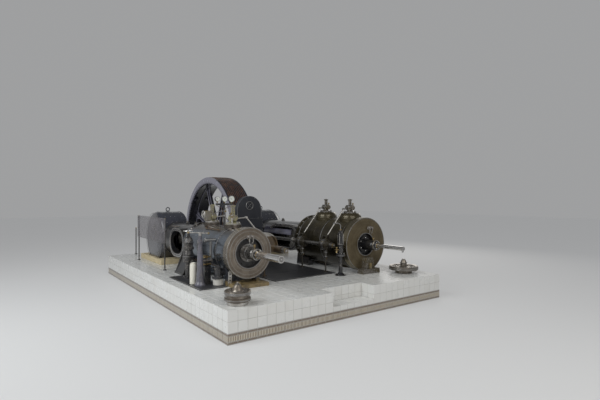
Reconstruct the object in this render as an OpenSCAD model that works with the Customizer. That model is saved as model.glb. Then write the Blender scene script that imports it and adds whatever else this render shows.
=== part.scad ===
// Horizontal twin-cylinder steam engine with a rope wheel between its cranks, on a tiled plinth.
// Sizes in millimetres, +Z up, +X to the right, +Y from the tail rods towards the crankshaft.
// The origin is the middle of the underside of the foundation.

/* [Plinth] */
// Width of the plinth from side to side
plinth_w = 4500; // [4400:50:5200]
// Length of the plinth from front to back
plinth_l = 6600; // [6500:50:7400]
// Height of the plinth above the hall floor
plinth_h = 450; // [400:10:600]
// Depth of the foundation below the hall floor
found_d = 600; // [560:10:1000]
// Width of the step cut into the front
step_w = 900; // [600:50:1200]
// Depth of the step from front to back
step_d = 300; // [200:10:400]
// Height of the step's tread above the hall floor
step_rise = 225; // [120:5:300]
// Room beside the rope wheel in its pit
pit_side_gap = 130; // [60:5:160]
// Room in front of and behind the rope wheel in its pit
pit_end_gap = 80; // [50:5:120]
// Room under the rope wheel in its pit
pit_bottom_gap = 60; // [50:5:110]

/* [Engine axes] */
// Distance between the two cylinder axes
bay_w = 2500; // [2400:20:2700]
// Height of the cylinder axes above the plinth
axis_over_plinth = 550; // [540:5:640]
// Distance of the crankshaft from the back of the plinth
crank_back = 1600; // [1580:10:1700]
// Crank radius, half of the stroke
crank_r = 320; // [240:5:322]
// Angle of both cranks from the outward dead centre at rest
crank_rest_deg = 45; // [40:1:50]
// Connecting rod length between its two bores
rod_l = 1450; // [1400:10:1500]

/* [Small cylinder, left] */
// Diameter of the rear cover
small_cover_d = 850; // [800:10:900]
// Diameter of the lagged barrel
small_barrel_d = 800; // [760:10:840]
// Bore of the cylinder
small_bore_d = 460; // [400:10:520]
// Length of the cylinder with its rear cover
small_cyl_l = 1860; // [1800:10:1900]
// Extra room between the guide's front plate and the crosshead at its outer dead centre
small_guide_room = 0; // [0:10:40]
// Diameter of the piston rod and its tail rod
small_rod_d = 110; // [90:2:120]
// Distance of the rear valve from the rear cover's face
small_valve_y = 580; // [540:10:600]
// Distance between the two valves
small_valve_pitch = 850; // [820:10:880]
// Height of the valve saddles above the axis
small_saddle_z = 445; // [435:5:460]
// Height of the valve spindles above the axis
small_spindle_z = 790; // [760:10:820]
// Length of the tail gland outside the rear cover
small_gland_l = 270; // [240:10:300]
// Tail rod outside its gland at rest
small_tail_out = 680; // [640:10:700]

/* [Large cylinder, right] */
// Diameter of the rear cover
large_cover_d = 1050; // [1000:10:1060]
// Diameter of the lagged barrel
large_barrel_d = 990; // [960:10:1000]
// Bore of the cylinder
large_bore_d = 720; // [680:10:760]
// Length of the cylinder with its rear cover
large_cyl_l = 1660; // [1620:10:1700]
// Extra room between the guide's front plate and the crosshead at its outer dead centre
large_guide_room = 410; // [360:10:440]
// Diameter of the piston rod and its tail rod
large_rod_d = 76; // [70:2:100]
// Distance of the rear valve from the rear cover's face
large_valve_y = 450; // [420:10:480]
// Distance between the two valves
large_valve_pitch = 760; // [740:10:780]
// Height of the valve saddles above the axis
large_saddle_z = 600; // [580:5:620]
// Height of the valve spindles above the axis
large_spindle_z = 890; // [860:10:920]
// Length of the tail gland outside the rear cover
large_gland_l = 300; // [260:10:320]
// Tail rod outside its gland at rest
large_tail_out = 640; // [600:10:650]

/* [Covers and guides] */
// Thickness of each rear cover
cover_t = 120; // [100:5:140]
// Depth of the recess in the rear covers
recess_t = 75; // [50:5:90]
// Outside diameter of the bored guides
guide_d = 690; // [670:5:700]
// Bore of the guides
guide_bore_d = 600; // [590:5:610]
// Diameter of the guides' front flanges
guide_flange_d = 780; // [760:10:800]
// Thickness of the guides' front flanges
guide_flange_t = 60; // [50:5:80]
// Height of the side windows in the guides
window_h = 460; // [420:10:480]
// Width of the machined rim round each window
window_rim = 70; // [50:5:80]
// Metal between a guide's front plate and its windows
window_front = 130; // [110:5:160]
// Metal between a guide's windows and the crank casing
window_back = 510; // [480:10:540]

/* [Crank casings and bearings] */
// Diameter of the crank casings
casing_d = 1180; // [1170:5:1200]
// Distance from the axis to the outer face of a casing
casing_out = 360; // [330:5:380]
// Distance from the axis to the inner face of a casing
casing_in = 290; // [280:5:300]
// Sheet thickness of the casings
casing_t = 8; // [5:1:10]
// Radius of the rounded shoulder at a casing's outer face
casing_round = 95; // [80:5:110]
// Diameter of the crankshaft
shaft_d = 250; // [220:5:260]
// Diameter of the crank discs
disc_d = 860; // [820:10:880]
// Thickness of the crank discs
disc_t = 120; // [100:5:130]
// Width of a main bearing along the shaft
bearing_w = 220; // [200:5:230]
// Diameter of the lay shafts
lay_d = 70; // [60:2:80]
// Distance of the lay shafts from the cylinder axes
lay_x = 650; // [640:5:665]

/* [Rope wheel] */
// Diameter of the rope wheel
wheel_d = 2860; // [2760:10:2900]
// Width of the rope wheel
wheel_w = 550; // [520:10:560]
// Number of ropes and grooves
rope_n = 10; // [6:1:11]
// Distance between the ropes
rope_pitch = 48; // [44:1:50]
// Diameter of the ropes
rope_d = 38; // [30:1:40]
// Depth of the rim
rim_t = 120; // [110:5:150]
// Number of arms
arm_n = 8; // [6:1:10]
// Angle of the first arm above the horizontal at rest
arm_start_deg = 20; // [0:1:44]
// Number of barring teeth inside the rim
tooth_n = 120; // [80:4:144]

/* [Shield and gauges] */
// Width of the arched shield
shield_w = 610; // [560:10:640]
// Height of the shield's top above the plinth
shield_h = 1505; // [1400:5:1600]
// Depth of the shield
shield_d = 110; // [80:5:140]
// Diameter of the round grille in the shield
grille_d = 190; // [160:5:220]
// Height of the middle gauge above the plinth
gauge_h = 1440; // [1350:10:1500]

/* [Hidden] */
$fn = 64;

// Clearances
run = 0.05;
gap = 0.3;
clear = 6;
eps = 1;

// Levels and places
top_z = found_d + plinth_h;
crank_y = plinth_l / 2 - crank_back;
axis_z = top_z + axis_over_plinth;
bay_x = bay_w / 2;
casing_r = casing_d / 2;
wheel_r = wheel_d / 2;
pit_half_w = wheel_w / 2 + pit_side_gap;
pit_half_l = sqrt(pow(wheel_r, 2) - pow(axis_over_plinth, 2)) + pit_end_gap;
pit_floor_z = axis_z - wheel_r - pit_bottom_gap;

// Per side values, side -1 is the left engine with the small cylinder, side 1 the right one
function pick(side, small, large) = side < 0 ? small : large;
function cover_r(side) = pick(side, small_cover_d, large_cover_d) / 2;
function barrel_r(side) = pick(side, small_barrel_d, large_barrel_d) / 2;
function bore_r(side) = pick(side, small_bore_d, large_bore_d) / 2;
function cyl_l(side) = pick(side, small_cyl_l, large_cyl_l);
function rod_r(side) = pick(side, small_rod_d, large_rod_d) / 2;
function saddle_z(side) = pick(side, small_saddle_z, large_saddle_z);
function saddle_r(side) = pick(side, 150, 190);
function saddle_flare(side) = pick(side, 5, 50);
function spindle_z(side) = pick(side, small_spindle_z, large_spindle_z);
function gland_l(side) = pick(side, small_gland_l, large_gland_l);
function tail_out(side) = pick(side, small_tail_out, large_tail_out);
function casing_front_y() = crank_y - casing_r;
function cyl_front_y(side) = crank_y - rod_l - crank_r - shoe_half_l - shoe_clear - guide_flange_t
    - pick(side, small_guide_room, large_guide_room);
function cover_y(side) = cyl_front_y(side) - cyl_l(side);
function nose_y(side) = cover_y(side) - gland_l(side);
function tail_end_y(side) = nose_y(side) - tail_out(side);
function valve_y(side, i) = cover_y(side) + pick(side, small_valve_y, large_valve_y)
    + i * pick(side, small_valve_pitch, large_valve_pitch);

// Crank and rod geometry at rest, the left pin above the axis and the right pin below it
pin_dy = -crank_r * cos(crank_rest_deg);
pin_dz = crank_r * sin(crank_rest_deg);
rod_deg = asin(pin_dz / rod_l);
gudgeon_y = crank_y + pin_dy - rod_l * cos(rod_deg);

// Crosshead and connecting rod
rod_half_t = 40;
gudgeon_r = 45;
crank_pin_r = 70;
big_end_r = 100;
small_end_r = 75;
cheek_t = 40;
cheek_x = rod_half_t + clear;
shoe_half_l = 100;
shoe_clear = 20;
shoe_half_w = 110;
shoe_z = 205;
crosshead_back = 18;
disc_x = rod_half_t + clear + 24;
bearing_x = casing_in + 30;
gear_case_r = 230;
gear_case_half_w = 90;

// Wheel details
hub_r = 300;
hub_w = 460;
rim_inner_r = wheel_r - rim_t;
rim_rib_r = rim_inner_r - 40;
rim_rib_w = 60;
arm_web_t = 44;
arm_rib_t = 36;
arm_root_half = 75;
arm_tip_half = 50;
arm_flare_half = 120;
arm_flare_l = 150;
tooth_ring_w = 60;
tooth_h = 36;
tooth_inset = 8;

// Cylinder details
chest_r = 170;
cyl_flange_t = 50;
boss_below = 60;

module ycyl(r, y0, y1, x = 0, z = 0) {
    translate([x, y0, z]) rotate([-90, 0, 0]) cylinder(r = r, h = y1 - y0);
}

module xcyl(r, x0, x1, y = 0, z = 0) {
    translate([x0, y, z]) rotate([0, 90, 0]) cylinder(r = r, h = x1 - x0);
}

module zcyl(r, z0, z1, x = 0, y = 0) {
    translate([x, y, z0]) cylinder(r = r, h = z1 - z0);
}

module turned_y(points) {
    rotate([-90, 0, 0]) rotate_extrude() polygon(points);
}

module turned_x(points) {
    rotate([0, 90, 0]) rotate_extrude() polygon(points);
}

module turned_z(points) {
    rotate_extrude() polygon(points);
}

module block(x0, x1, y0, y1, z0, z1) {
    translate([x0, y0, z0]) cube([x1 - x0, y1 - y0, z1 - z0]);
}

// Extrudes a flat outline drawn in Y and Z along X
module plate_x(x0, x1) {
    translate([x0, 0, 0]) rotate([90, 0, 90]) linear_extrude(height = x1 - x0) children();
}

// Extrudes a flat outline drawn in X and Z along Y
module plate_y(y0, y1) {
    translate([0, y1, 0]) rotate([90, 0, 0]) linear_extrude(height = y1 - y0) children();
}

// Places a piece on one engine's axis, with local +X towards the middle of the plinth
module engine(side) {
    translate([side * bay_x, 0, axis_z]) mirror([side > 0 ? 1 : 0, 0, 0]) children();
}

// A rod between two points in one plane of constant Y
module slanted_rod(r, y, from, to) {
    run_x = to[0] - from[0];
    rise = to[1] - from[1];
    translate([from[0], y, from[1]]) rotate([0, atan2(run_x, rise), 0])
        cylinder(r = r, h = sqrt(run_x * run_x + rise * rise));
}

// Plinth and floor plates
module plinth() {
    color("gainsboro") difference() {
        block(-plinth_w / 2, plinth_w / 2, -plinth_l / 2, plinth_l / 2, 0, top_z);
        block(-pit_half_w, pit_half_w, crank_y - pit_half_l, crank_y + pit_half_l,
            pit_floor_z, top_z + eps);
        block(-step_w / 2, step_w / 2, -plinth_l / 2 - eps, -plinth_l / 2 + step_d,
            found_d + step_rise, top_z + eps);
    }
}

plate_t = 12;
side_plate = [-bay_x - 800, -bay_x - 320, cover_y(-1) + 150, cyl_front_y(-1) - 320];
mid_plate = [-bay_x + 550, bay_x - 550, cover_y(-1) + 60, cyl_front_y(-1) + 210];

module floor_plates() {
    color([0.14, 0.14, 0.15]) {
        block(side_plate[0], side_plate[1], side_plate[2], side_plate[3], top_z, top_z + plate_t);
        block(mid_plate[0], mid_plate[1], mid_plate[2], mid_plate[3], top_z, top_z + plate_t);
    }
}

// Cylinders with their valve saddles above and exhaust chests below
module valve_saddle(side) {
    r = saddle_r(side);
    flare = saddle_flare(side);
    z = saddle_z(side);
    turned_z([
        [0, 0], [r + flare, 0], [r + flare, z - 110], [r + 0.92 * flare, z - 75],
        [r + 0.7 * flare, z - 45], [r + 0.35 * flare, z - 18], [r, z], [0, z]
    ]);
}

module cylinder_body(side) {
    y0 = cover_y(side) + cover_t;
    y1 = cyl_front_y(side);
    r = barrel_r(side);
    engine(side) difference() {
        union() {
            ycyl(r, y0, y1);
            ycyl(cover_r(side), y0, y0 + cyl_flange_t);
            ycyl(cover_r(side), y1 - cyl_flange_t, y1);
            for (i = [0, 1]) translate([0, valve_y(side, i), 0]) {
                valve_saddle(side);
                zcyl(chest_r, -axis_over_plinth + boss_below, 0);
                zcyl(chest_r + 30, -axis_over_plinth + boss_below, -axis_over_plinth + boss_below + 35);
            }
        }
        ycyl(bore_r(side), y0 - eps, y1 + eps);
    }
}

module left_cylinder() {
    color([0.25, 0.30, 0.36]) cylinder_body(-1);
}

module right_cylinder() {
    color([0.33, 0.30, 0.22]) cylinder_body(1);
}

gland_flange_r = 150;
gland_body_r = 105;
gland_nose_r = 85;

function recess_r(side) = pick(side, 250, 215);

module rear_cover(side) {
    y0 = cover_y(side);
    engine(side) difference() {
        ycyl(cover_r(side), y0, y0 + cover_t);
        ycyl(recess_r(side), y0 - eps, y0 + recess_t);
        ycyl(gland_body_r + gap, y0, y0 + cover_t + eps);
    }
}

module left_rear_cover() {
    color([0.52, 0.48, 0.44]) rear_cover(-1);
}

module right_rear_cover() {
    color([0.45, 0.41, 0.33]) rear_cover(1);
}

module tail_gland(side) {
    y0 = nose_y(side);
    seat = cover_y(side) + recess_t;
    bore = rod_r(side) + run;
    engine(side) turned_y([
        [bore, y0], [gland_nose_r, y0], [gland_nose_r, y0 + 60], [gland_body_r - 10, y0 + 90],
        [gland_body_r, seat - 40], [gland_flange_r, seat - 40], [gland_flange_r, seat],
        [gland_body_r, seat], [gland_body_r, cover_y(side) + cover_t], [bore, cover_y(side) + cover_t]
    ]);
}

module left_tail_gland() {
    color([0.12, 0.12, 0.14]) tail_gland(-1);
}

module right_tail_gland() {
    color([0.05, 0.05, 0.06]) tail_gland(1);
}

foot_plate_t = 50;
foot_neck_l = 160;
small_foot_half_w = 300;
small_foot_neck_l = 110;
small_foot_front = 140;
small_foot_flange = 30;

// The small cylinder stands on a box-shaped neck, on a plate that reaches past its rear cover
module small_foot(side) {
    y0 = cover_y(side) + cover_t + cyl_flange_t + gap;
    y1 = y0 + small_foot_neck_l;
    w = small_foot_half_w;
    bottom = -axis_over_plinth;
    engine(side) {
        block(-w, w, cover_y(side) - small_foot_front, y1, bottom, bottom + 1.2 * foot_plate_t);
        difference() {
            union() {
                block(-w + 60, w - 60, y0 + 20, y1 - 20, bottom + foot_plate_t, 0);
                for (s = [-1, 1])
                    block(s * w - small_foot_flange / 2 * (s + 1), s * w - small_foot_flange / 2 * (s - 1),
                        y0, y1, bottom + foot_plate_t, 0);
                block(-w + small_foot_flange, w - small_foot_flange, y0, y0 + small_foot_flange,
                    bottom + foot_plate_t, 0);
            }
            ycyl(barrel_r(side) + gap, y0 - eps, y1 + eps);
            block(-w - eps, w + eps, y0 - eps, y1 + eps, -barrel_r(side) / 2, eps);
        }
    }
}

// The large cylinder is carried by a bracket bolted to the lower half of its rear cover
module large_foot(side) {
    y1 = cover_y(side);
    engine(side) {
        block(-225, 225, y1 - foot_neck_l, y1 - gap, -axis_over_plinth, -axis_over_plinth + 1.8 * foot_plate_t);
        plate_y(y1 - 0.7 * foot_neck_l, y1) polygon([
            [-130, -axis_over_plinth + foot_plate_t], [130, -axis_over_plinth + foot_plate_t],
            [110, -300], [80, -250], [-80, -250], [-110, -300]
        ]);
    }
}

module left_cylinder_foot() {
    color([0.42, 0.38, 0.28]) small_foot(-1);
}

module right_cylinder_foot() {
    color([0.33, 0.29, 0.20]) large_foot(1);
}

// Bored guides with their windows, front plates, stuffing boxes and feet
module window_outline(y0, y1, rim) {
    r = window_h / 2;
    translate([y0 + r, 0]) circle(r + rim);
    translate([y1 - r, 0]) circle(r + rim);
    translate([y0 + r, -r - rim]) square([y1 - y0 - 2 * r, 2 * (r + rim)]);
}

window_y0 = guide_flange_t + window_front;
rim_x = guide_d / 2 + 8;
guide_foot_out = 540;
guide_foot_in = 380;
guide_foot_hollow = 250;
guide_foot_back = 300;
guide_foot_front = 120;
guide_foot_web = 45;

// The foot reaches back under the cylinder, in two wings with a lower plate
module guide_foot(side) {
    y0 = cyl_front_y(side);
    bottom = -axis_over_plinth;
    top_w = guide_d / 2 - 15;
    difference() {
        union() {
            for (y = [y0 - guide_foot_back, y0 + guide_flange_t + 10]) plate_y(y, y + guide_foot_web)
                polygon([[-guide_foot_out, bottom], [guide_foot_in, bottom], [top_w, 0], [-top_w, 0]]);
            for (w = [-guide_foot_out, guide_foot_in]) {
                s = sign(w);
                plate_y(y0 - guide_foot_back, y0 + guide_foot_front) polygon([
                    [w, bottom], [w - 60 * s, bottom], [s * (top_w - 60), -80], [s * top_w, -80]
                ]);
                block(min(w, s * guide_foot_hollow), max(w, s * guide_foot_hollow),
                    y0 - guide_foot_back, y0 + guide_foot_front, bottom, bottom + 40);
            }
        }
        block(-guide_foot_hollow, guide_foot_hollow, y0 - guide_foot_back - eps, y0 + gap, bottom - eps, eps);
        ycyl(cover_r(side) + gap, y0 - guide_foot_back - eps, y0 + gap);
    }
}

module guide(side) {
    y0 = cyl_front_y(side);
    y1 = casing_front_y();
    engine(side) difference() {
        union() {
            ycyl(guide_d / 2, y0, crank_y - casing_r / 2);
            ycyl(guide_flange_d / 2, y0, y0 + guide_flange_t);
            ycyl(guide_d / 2 + 12, y1 - 60, crank_y - casing_r / 2);
            plate_x(-rim_x, rim_x) window_outline(y0 + window_y0, y1 - window_back, window_rim);
            guide_foot(side);
        }
        ycyl(guide_bore_d / 2, y0 + guide_flange_t, crank_y);
        plate_x(-guide_d, guide_d) window_outline(y0 + window_y0, y1 - window_back, 0);
        translate([0, crank_y, 0])
            casing_shell(casing_r + gap, -casing_out - gap, casing_in + gap, casing_round, casing_round_in);
        ycyl(rod_r(side) + run, y0 - eps, y0 + guide_flange_t + eps);
    }
}

module left_guide() {
    color([0.16, 0.17, 0.19]) guide(-1);
}

module right_guide() {
    color([0.13, 0.13, 0.14]) guide(1);
}

hood_t = 6;
hood_low_z = 60;
hood_top_z = 240;
hood_start = 360;
hood_stop = 250;

// Splash hood over the upper half of the large engine's inner window
module right_guide_hood() {
    y0 = cyl_front_y(1) + hood_start;
    y1 = casing_front_y() - hood_stop;
    r = guide_flange_d / 2;
    color([0.40, 0.41, 0.50]) engine(1) difference() {
        intersection() {
            ycyl(r + hood_t, y0, y1);
            block(0, r + 2 * hood_t, y0, y1, hood_low_z, hood_top_z);
        }
        intersection() {
            ycyl(r, y0 + hood_t, y1 - hood_t);
            block(0, r + hood_t, y0, y1, 0, hood_top_z - hood_t);
        }
        ycyl(guide_d / 2 + gap, y0 - eps, y1 + eps);
        plate_x(-eps, rim_x + gap)
            window_outline(cyl_front_y(1) + window_y0, casing_front_y() - window_back, window_rim + gap);
    }
}

// Sheet casings round the cranks, flat where they stand on the plinth, with rounded shoulders
module casing_shell(r, x0, x1, round_out, round_in) {
    turned_x(concat(
        [[0, x0]],
        [for (a = [0 : 15 : 90]) [r - round_out + round_out * sin(a), x0 + round_out - round_out * cos(a)]],
        [for (a = [90 : -15 : 0]) [r - round_in + round_in * sin(a), x1 - round_in + round_in * cos(a)]],
        [[0, x1]]
    ));
}

casing_round_in = 60;
mouth_half_w = 225;
face_cover_r = 175;
face_cover_z = 100;
eye_r = 42;
eye_wire_r = 11;

// Lifting eye on top of a casing
module lifting_eye() {
    zcyl(eye_wire_r + 6, casing_r - 10, casing_r + 14);
    translate([0, 0, casing_r + eye_r + 10]) rotate([90, 0, 0]) rotate_extrude()
        translate([eye_r, 0]) circle(eye_wire_r);
}

module crank_casing(side) {
    $fn = 180;
    t = casing_t;
    engine(side) difference() {
        union() {
            intersection() {
                translate([0, crank_y, 0])
                    casing_shell(casing_r, -casing_out, casing_in, casing_round, casing_round_in);
                block(-casing_out, casing_in, crank_y - casing_r, crank_y + casing_r,
                    -axis_over_plinth, casing_r);
            }
            xcyl(face_cover_r, -casing_out - t, -casing_out + eps, y = crank_y, z = face_cover_z);
            translate([(casing_in - casing_out) / 2, crank_y, 0]) lifting_eye();
        }
        intersection() {
            translate([0, crank_y, 0])
                casing_shell(casing_r - t, -casing_out + t, casing_in - t, casing_round - t, casing_round_in - t);
            block(-casing_out, casing_in, crank_y - casing_r, crank_y + casing_r,
                -axis_over_plinth + t, casing_r);
        }
        intersection() {
            ycyl(guide_bore_d / 2, crank_y - casing_r - eps, crank_y - casing_r / 2);
            block(-mouth_half_w, mouth_half_w, 0, crank_y, -casing_r, casing_r);
        }
        xcyl(shaft_d / 2 + clear, casing_in - 2 * t, casing_in + eps, y = crank_y);
    }
}

module left_crank_casing() {
    color([0.22, 0.24, 0.29]) crank_casing(-1);
}

module right_crank_casing() {
    color([0.20, 0.22, 0.27]) crank_casing(1);
}

board_h = 110;
board_out = 740;
board_side = 440;

module board_frame(side) {
    half_hole = sqrt(pow(casing_r, 2) - pow(axis_over_plinth - board_h, 2)) + gap;
    engine(side) difference() {
        block(-board_side, casing_in + 20, crank_y - board_out, crank_y + board_out,
            -axis_over_plinth, -axis_over_plinth + board_h);
        block(-casing_out - gap, casing_in + gap, crank_y - half_hole, crank_y + half_hole,
            -axis_over_plinth - eps, -axis_over_plinth + board_h + eps);
    }
}

module casing_boards() {
    color([0.74, 0.68, 0.52]) for (side = [-1, 1]) board_frame(side);
}

// Main bearings and the cases round the bevel gears of the lay shafts
module main_bearing(side) {
    half_l = 320;
    cap_r = 210;
    engine(side) translate([0, crank_y, 0]) difference() {
        plate_x(bearing_x, bearing_x + bearing_w) {
            circle(cap_r);
            polygon([
                [-half_l, -axis_over_plinth], [half_l, -axis_over_plinth],
                [half_l, -axis_over_plinth + 80], [cap_r, -axis_over_plinth + 150],
                [cap_r, 0], [-cap_r, 0], [-cap_r, -axis_over_plinth + 150],
                [-half_l, -axis_over_plinth + 80]
            ]);
        }
        xcyl(shaft_d / 2 + run, bearing_x - eps, bearing_x + bearing_w + eps);
    }
}

module left_main_bearing() {
    color([0.15, 0.16, 0.18]) main_bearing(-1);
}

module right_main_bearing() {
    color([0.15, 0.16, 0.18]) main_bearing(1);
}

module gear_case(side) {
    x0 = bearing_x + bearing_w;
    x1 = lay_x + gear_case_half_w;
    wall = 12;
    engine(side) difference() {
        translate([0, crank_y, 0]) {
            xcyl(gear_case_r, x0, x1);
            block(x0 + 30, x1 - 30, -120, 120, -axis_over_plinth, 0);
        }
        xcyl(gear_case_r - wall, x0 + wall, x1 - wall, y = crank_y);
        xcyl(shaft_d / 2 + clear, x0 - eps, x1 + eps, y = crank_y);
        ycyl(lay_d / 2 + run, crank_y - gear_case_r - eps, crank_y - shaft_d / 2, x = lay_x);
    }
}

module gear_cases() {
    color([0.17, 0.18, 0.20]) for (side = [-1, 1]) gear_case(side);
}

// Valve bonnets on their saddles, with spring cages and spindles
bonnet_flange_r = 132;
bonnet_neck_r = 62;
bonnet_body_h = 165;
pillar_r = 13;
pillar_half_gap = 26;

// Flanged neck, spring box with its round end cap, two pillars and a crosshead over the spindle
module bonnet(z0, z1) {
    z_body = z0 + bonnet_body_h;
    turned_z([
        [0, z0], [bonnet_flange_r, z0], [bonnet_flange_r, z0 + 26], [88, z0 + 34],
        [bonnet_neck_r, z0 + 52], [cage_r, z0 + 60], [cage_r, z_body - 10], [78, z_body - 6],
        [78, z_body], [0, z_body]
    ]);
    ycyl(46, -92, 92, z = z0 + 110);
    block(-40, 40, -70, 70, z0 + 60, z_body - 8);
    zcyl(15, z_body, z1);
    for (s = [-1, 1]) zcyl(pillar_r, z_body - eps, z1 - 18, x = s * pillar_half_gap);
    block(-pillar_half_gap - 18, pillar_half_gap + 18, -20, 20, z1 - 30, z1 - 8);
}

module valve_bonnets(side) {
    engine(side) for (i = [0, 1])
        translate([0, valve_y(side, i), 0]) bonnet(saddle_z(side), spindle_z(side));
}

module left_valve_bonnets() {
    color([0.62, 0.55, 0.38]) valve_bonnets(-1);
}

module right_valve_bonnets() {
    color([0.35, 0.31, 0.20]) valve_bonnets(1);
}

// Trip gear boxes on the lay shaft, the levers on the bonnets and the slanted rods between them
gear_box_r = 110;
gear_box_half_l = 95;
cage_r = 54;
lever_in = cage_r + 14;
lever_rise = 100;
sleeve_r = lay_d / 2 + 25;
sleeve_start = 110;
dashpot_r = 44;
dashpot_l = 130;
stay_r = 15;
sector_r = 270;
sector_rim_t = 16;
sector_half_w = 50;
sector_web_t = 16;
sector_back = 60;

function lever_z(side) = pick(side, small_saddle_z + 115, large_saddle_z + 87);
function lever_out(side) = pick(side, 263, 175);
function stay_foot_z(side) = -axis_over_plinth + plate_t;

// Quarter-round casting over a trip gear of the small engine, a rim on a thin web
module gear_sector(r) {
    intersection() {
        circle(r);
        translate([-sector_back, -sector_back]) square(2 * r);
    }
}

module sector_guard(y) {
    translate([lay_x, 0, 0]) {
        plate_y(y - sector_half_w, y + sector_half_w) difference() {
            gear_sector(sector_r);
            circle(sector_r - sector_rim_t);
        }
        plate_y(y - sector_web_t / 2, y + sector_web_t / 2) gear_sector(sector_r - sector_rim_t + eps);
    }
}

// Forked plates that carry a trip gear's lever shaft
module gear_fork(y) {
    for (s = [-1, 1]) plate_y(y + s * 60 - 7, y + s * 60 + 7) polygon([
        [lay_x - 95, 0], [lay_x + 95, 0], [lay_x + 22, gear_box_r + 75], [lay_x - 22, gear_box_r + 75]
    ]);
    ycyl(13, y - 75, y + 75, x = lay_x, z = gear_box_r + 50);
}

module valve_gear(side) {
    engine(side) for (i = [0, 1]) {
        y = valve_y(side, i);
        apex = [lever_out(side), lever_z(side)];
        difference() {
            union() {
                ycyl(gear_box_r, y - gear_box_half_l, y + gear_box_half_l, x = lay_x);
                block(bore_r(side) + 30, lay_x, y - 70, y + 70, -60, 60);
                gear_fork(y);
                slanted_rod(13, y, [lay_x - 20, gear_box_r + 40], apex);
                zcyl(dashpot_r, -gear_box_r - dashpot_l, -gear_box_r + 30, x = lay_x, y = y);
                zcyl(stay_r, stay_foot_z(side), -gear_box_r, x = lay_x, y = y);
                zcyl(3 * stay_r, stay_foot_z(side), stay_foot_z(side) + 14, x = lay_x, y = y);
                if (side < 0) sector_guard(y);
            }
            ycyl(lay_d / 2 + run, y - gear_box_half_l - eps, y + gear_box_half_l + eps, x = lay_x);
            ycyl(barrel_r(side) + gap, y - gear_box_half_l, y + gear_box_half_l);
        }
        slanted_rod(11, y, [lever_in, saddle_z(side) + lever_rise], apex);
        ycyl(20, y - 28, y + 28, x = apex[0], z = apex[1]);
    }
    engine(side) difference() {
        union() {
            ycyl(sleeve_r, lay_end_y(side) + sleeve_start, valve_y(side, 0) - gear_box_half_l + eps, x = lay_x);
            if (side < 0) block(bore_r(side) + 30, lay_x, cover_y(side) + 180, cover_y(side) + 280, -50, 50);
        }
        ycyl(lay_d / 2 + run, lay_end_y(side), valve_y(side, 0), x = lay_x);
        ycyl(barrel_r(side) + gap, cover_y(side), valve_y(side, 0));
    }
}

module left_valve_gear() {
    color([0.40, 0.36, 0.24]) valve_gear(-1);
}

module right_valve_gear() {
    color([0.34, 0.31, 0.20]) valve_gear(1);
}

// Moving rods
piston_l = 240;

function piston_y(side) = (cover_y(side) + cover_t + cyl_front_y(side)) / 2 + pin_dy;

module piston_rod(side) {
    y = piston_y(side);
    engine(side) {
        ycyl(rod_r(side), tail_end_y(side), gudgeon_y - shoe_half_l);
        ycyl(bore_r(side) - gap, y - piston_l / 2, y + piston_l / 2);
    }
}

module left_piston_rod() {
    color([0.78, 0.78, 0.80]) piston_rod(-1);
}

module right_piston_rod() {
    color([0.78, 0.78, 0.80]) piston_rod(1);
}

module crosshead(side) {
    engine(side) translate([0, gudgeon_y, 0]) {
        difference() {
            intersection() {
                block(-shoe_half_w, shoe_half_w, -shoe_half_l, shoe_half_l, -guide_bore_d, guide_bore_d);
                ycyl(guide_bore_d / 2 - gap, -shoe_half_l, shoe_half_l);
            }
            block(-cheek_x, cheek_x, -shoe_half_l + crosshead_back, shoe_half_l + eps, -shoe_z, shoe_z);
            for (s = [-1, 1]) translate([s * (cheek_x + cheek_t + shoe_half_w), 0, 0])
                block(-shoe_half_w, shoe_half_w, -shoe_half_l - eps, shoe_half_l + eps, -shoe_z, shoe_z);
        }
        xcyl(gudgeon_r, -cheek_x, cheek_x);
    }
}

module left_crosshead() {
    color([0.45, 0.45, 0.47]) crosshead(-1);
}

module right_crosshead() {
    color([0.45, 0.45, 0.47]) crosshead(1);
}

module connecting_rod(side) {
    up = -side;
    engine(side) translate([0, gudgeon_y, 0]) rotate([up * rod_deg, 0, 0]) plate_x(-rod_half_t, rod_half_t)
        difference() {
            union() {
                circle(small_end_r);
                translate([rod_l, 0]) circle(big_end_r);
                polygon([[0, -38], [rod_l, -55], [rod_l, 55], [0, 38]]);
            }
            circle(gudgeon_r + run);
            translate([rod_l, 0]) circle(crank_pin_r + run);
        }
}

module left_connecting_rod() {
    color([0.70, 0.70, 0.72]) connecting_rod(-1);
}

module right_connecting_rod() {
    color([0.70, 0.70, 0.72]) connecting_rod(1);
}

function lay_end_y(side) = valve_y(side, 0) - pick(side, 720, 250);

module lay_shaft(side) {
    engine(side) {
        ycyl(lay_d / 2, lay_end_y(side), crank_y - shaft_d / 2 - clear, x = lay_x);
        ycyl(lay_d / 2 + 18, lay_end_y(side) + 60, lay_end_y(side) + 100, x = lay_x);
    }
}

module left_lay_shaft() {
    color([0.70, 0.70, 0.72]) lay_shaft(-1);
}

module right_lay_shaft() {
    color([0.70, 0.70, 0.72]) lay_shaft(1);
}

// Crankshaft with its two discs and short crank pins
module crankshaft() {
    color([0.62, 0.62, 0.65]) {
        translate([0, crank_y, axis_z]) xcyl(shaft_d / 2, -bay_x + disc_x, bay_x - disc_x);
        for (side = [-1, 1]) engine(side) {
            xcyl(disc_d / 2, disc_x, disc_x + disc_t, y = crank_y);
            xcyl(crank_pin_r, rod_half_t + clear, disc_x, y = crank_y + pin_dy, z = -side * pin_dz);
        }
    }
}

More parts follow.
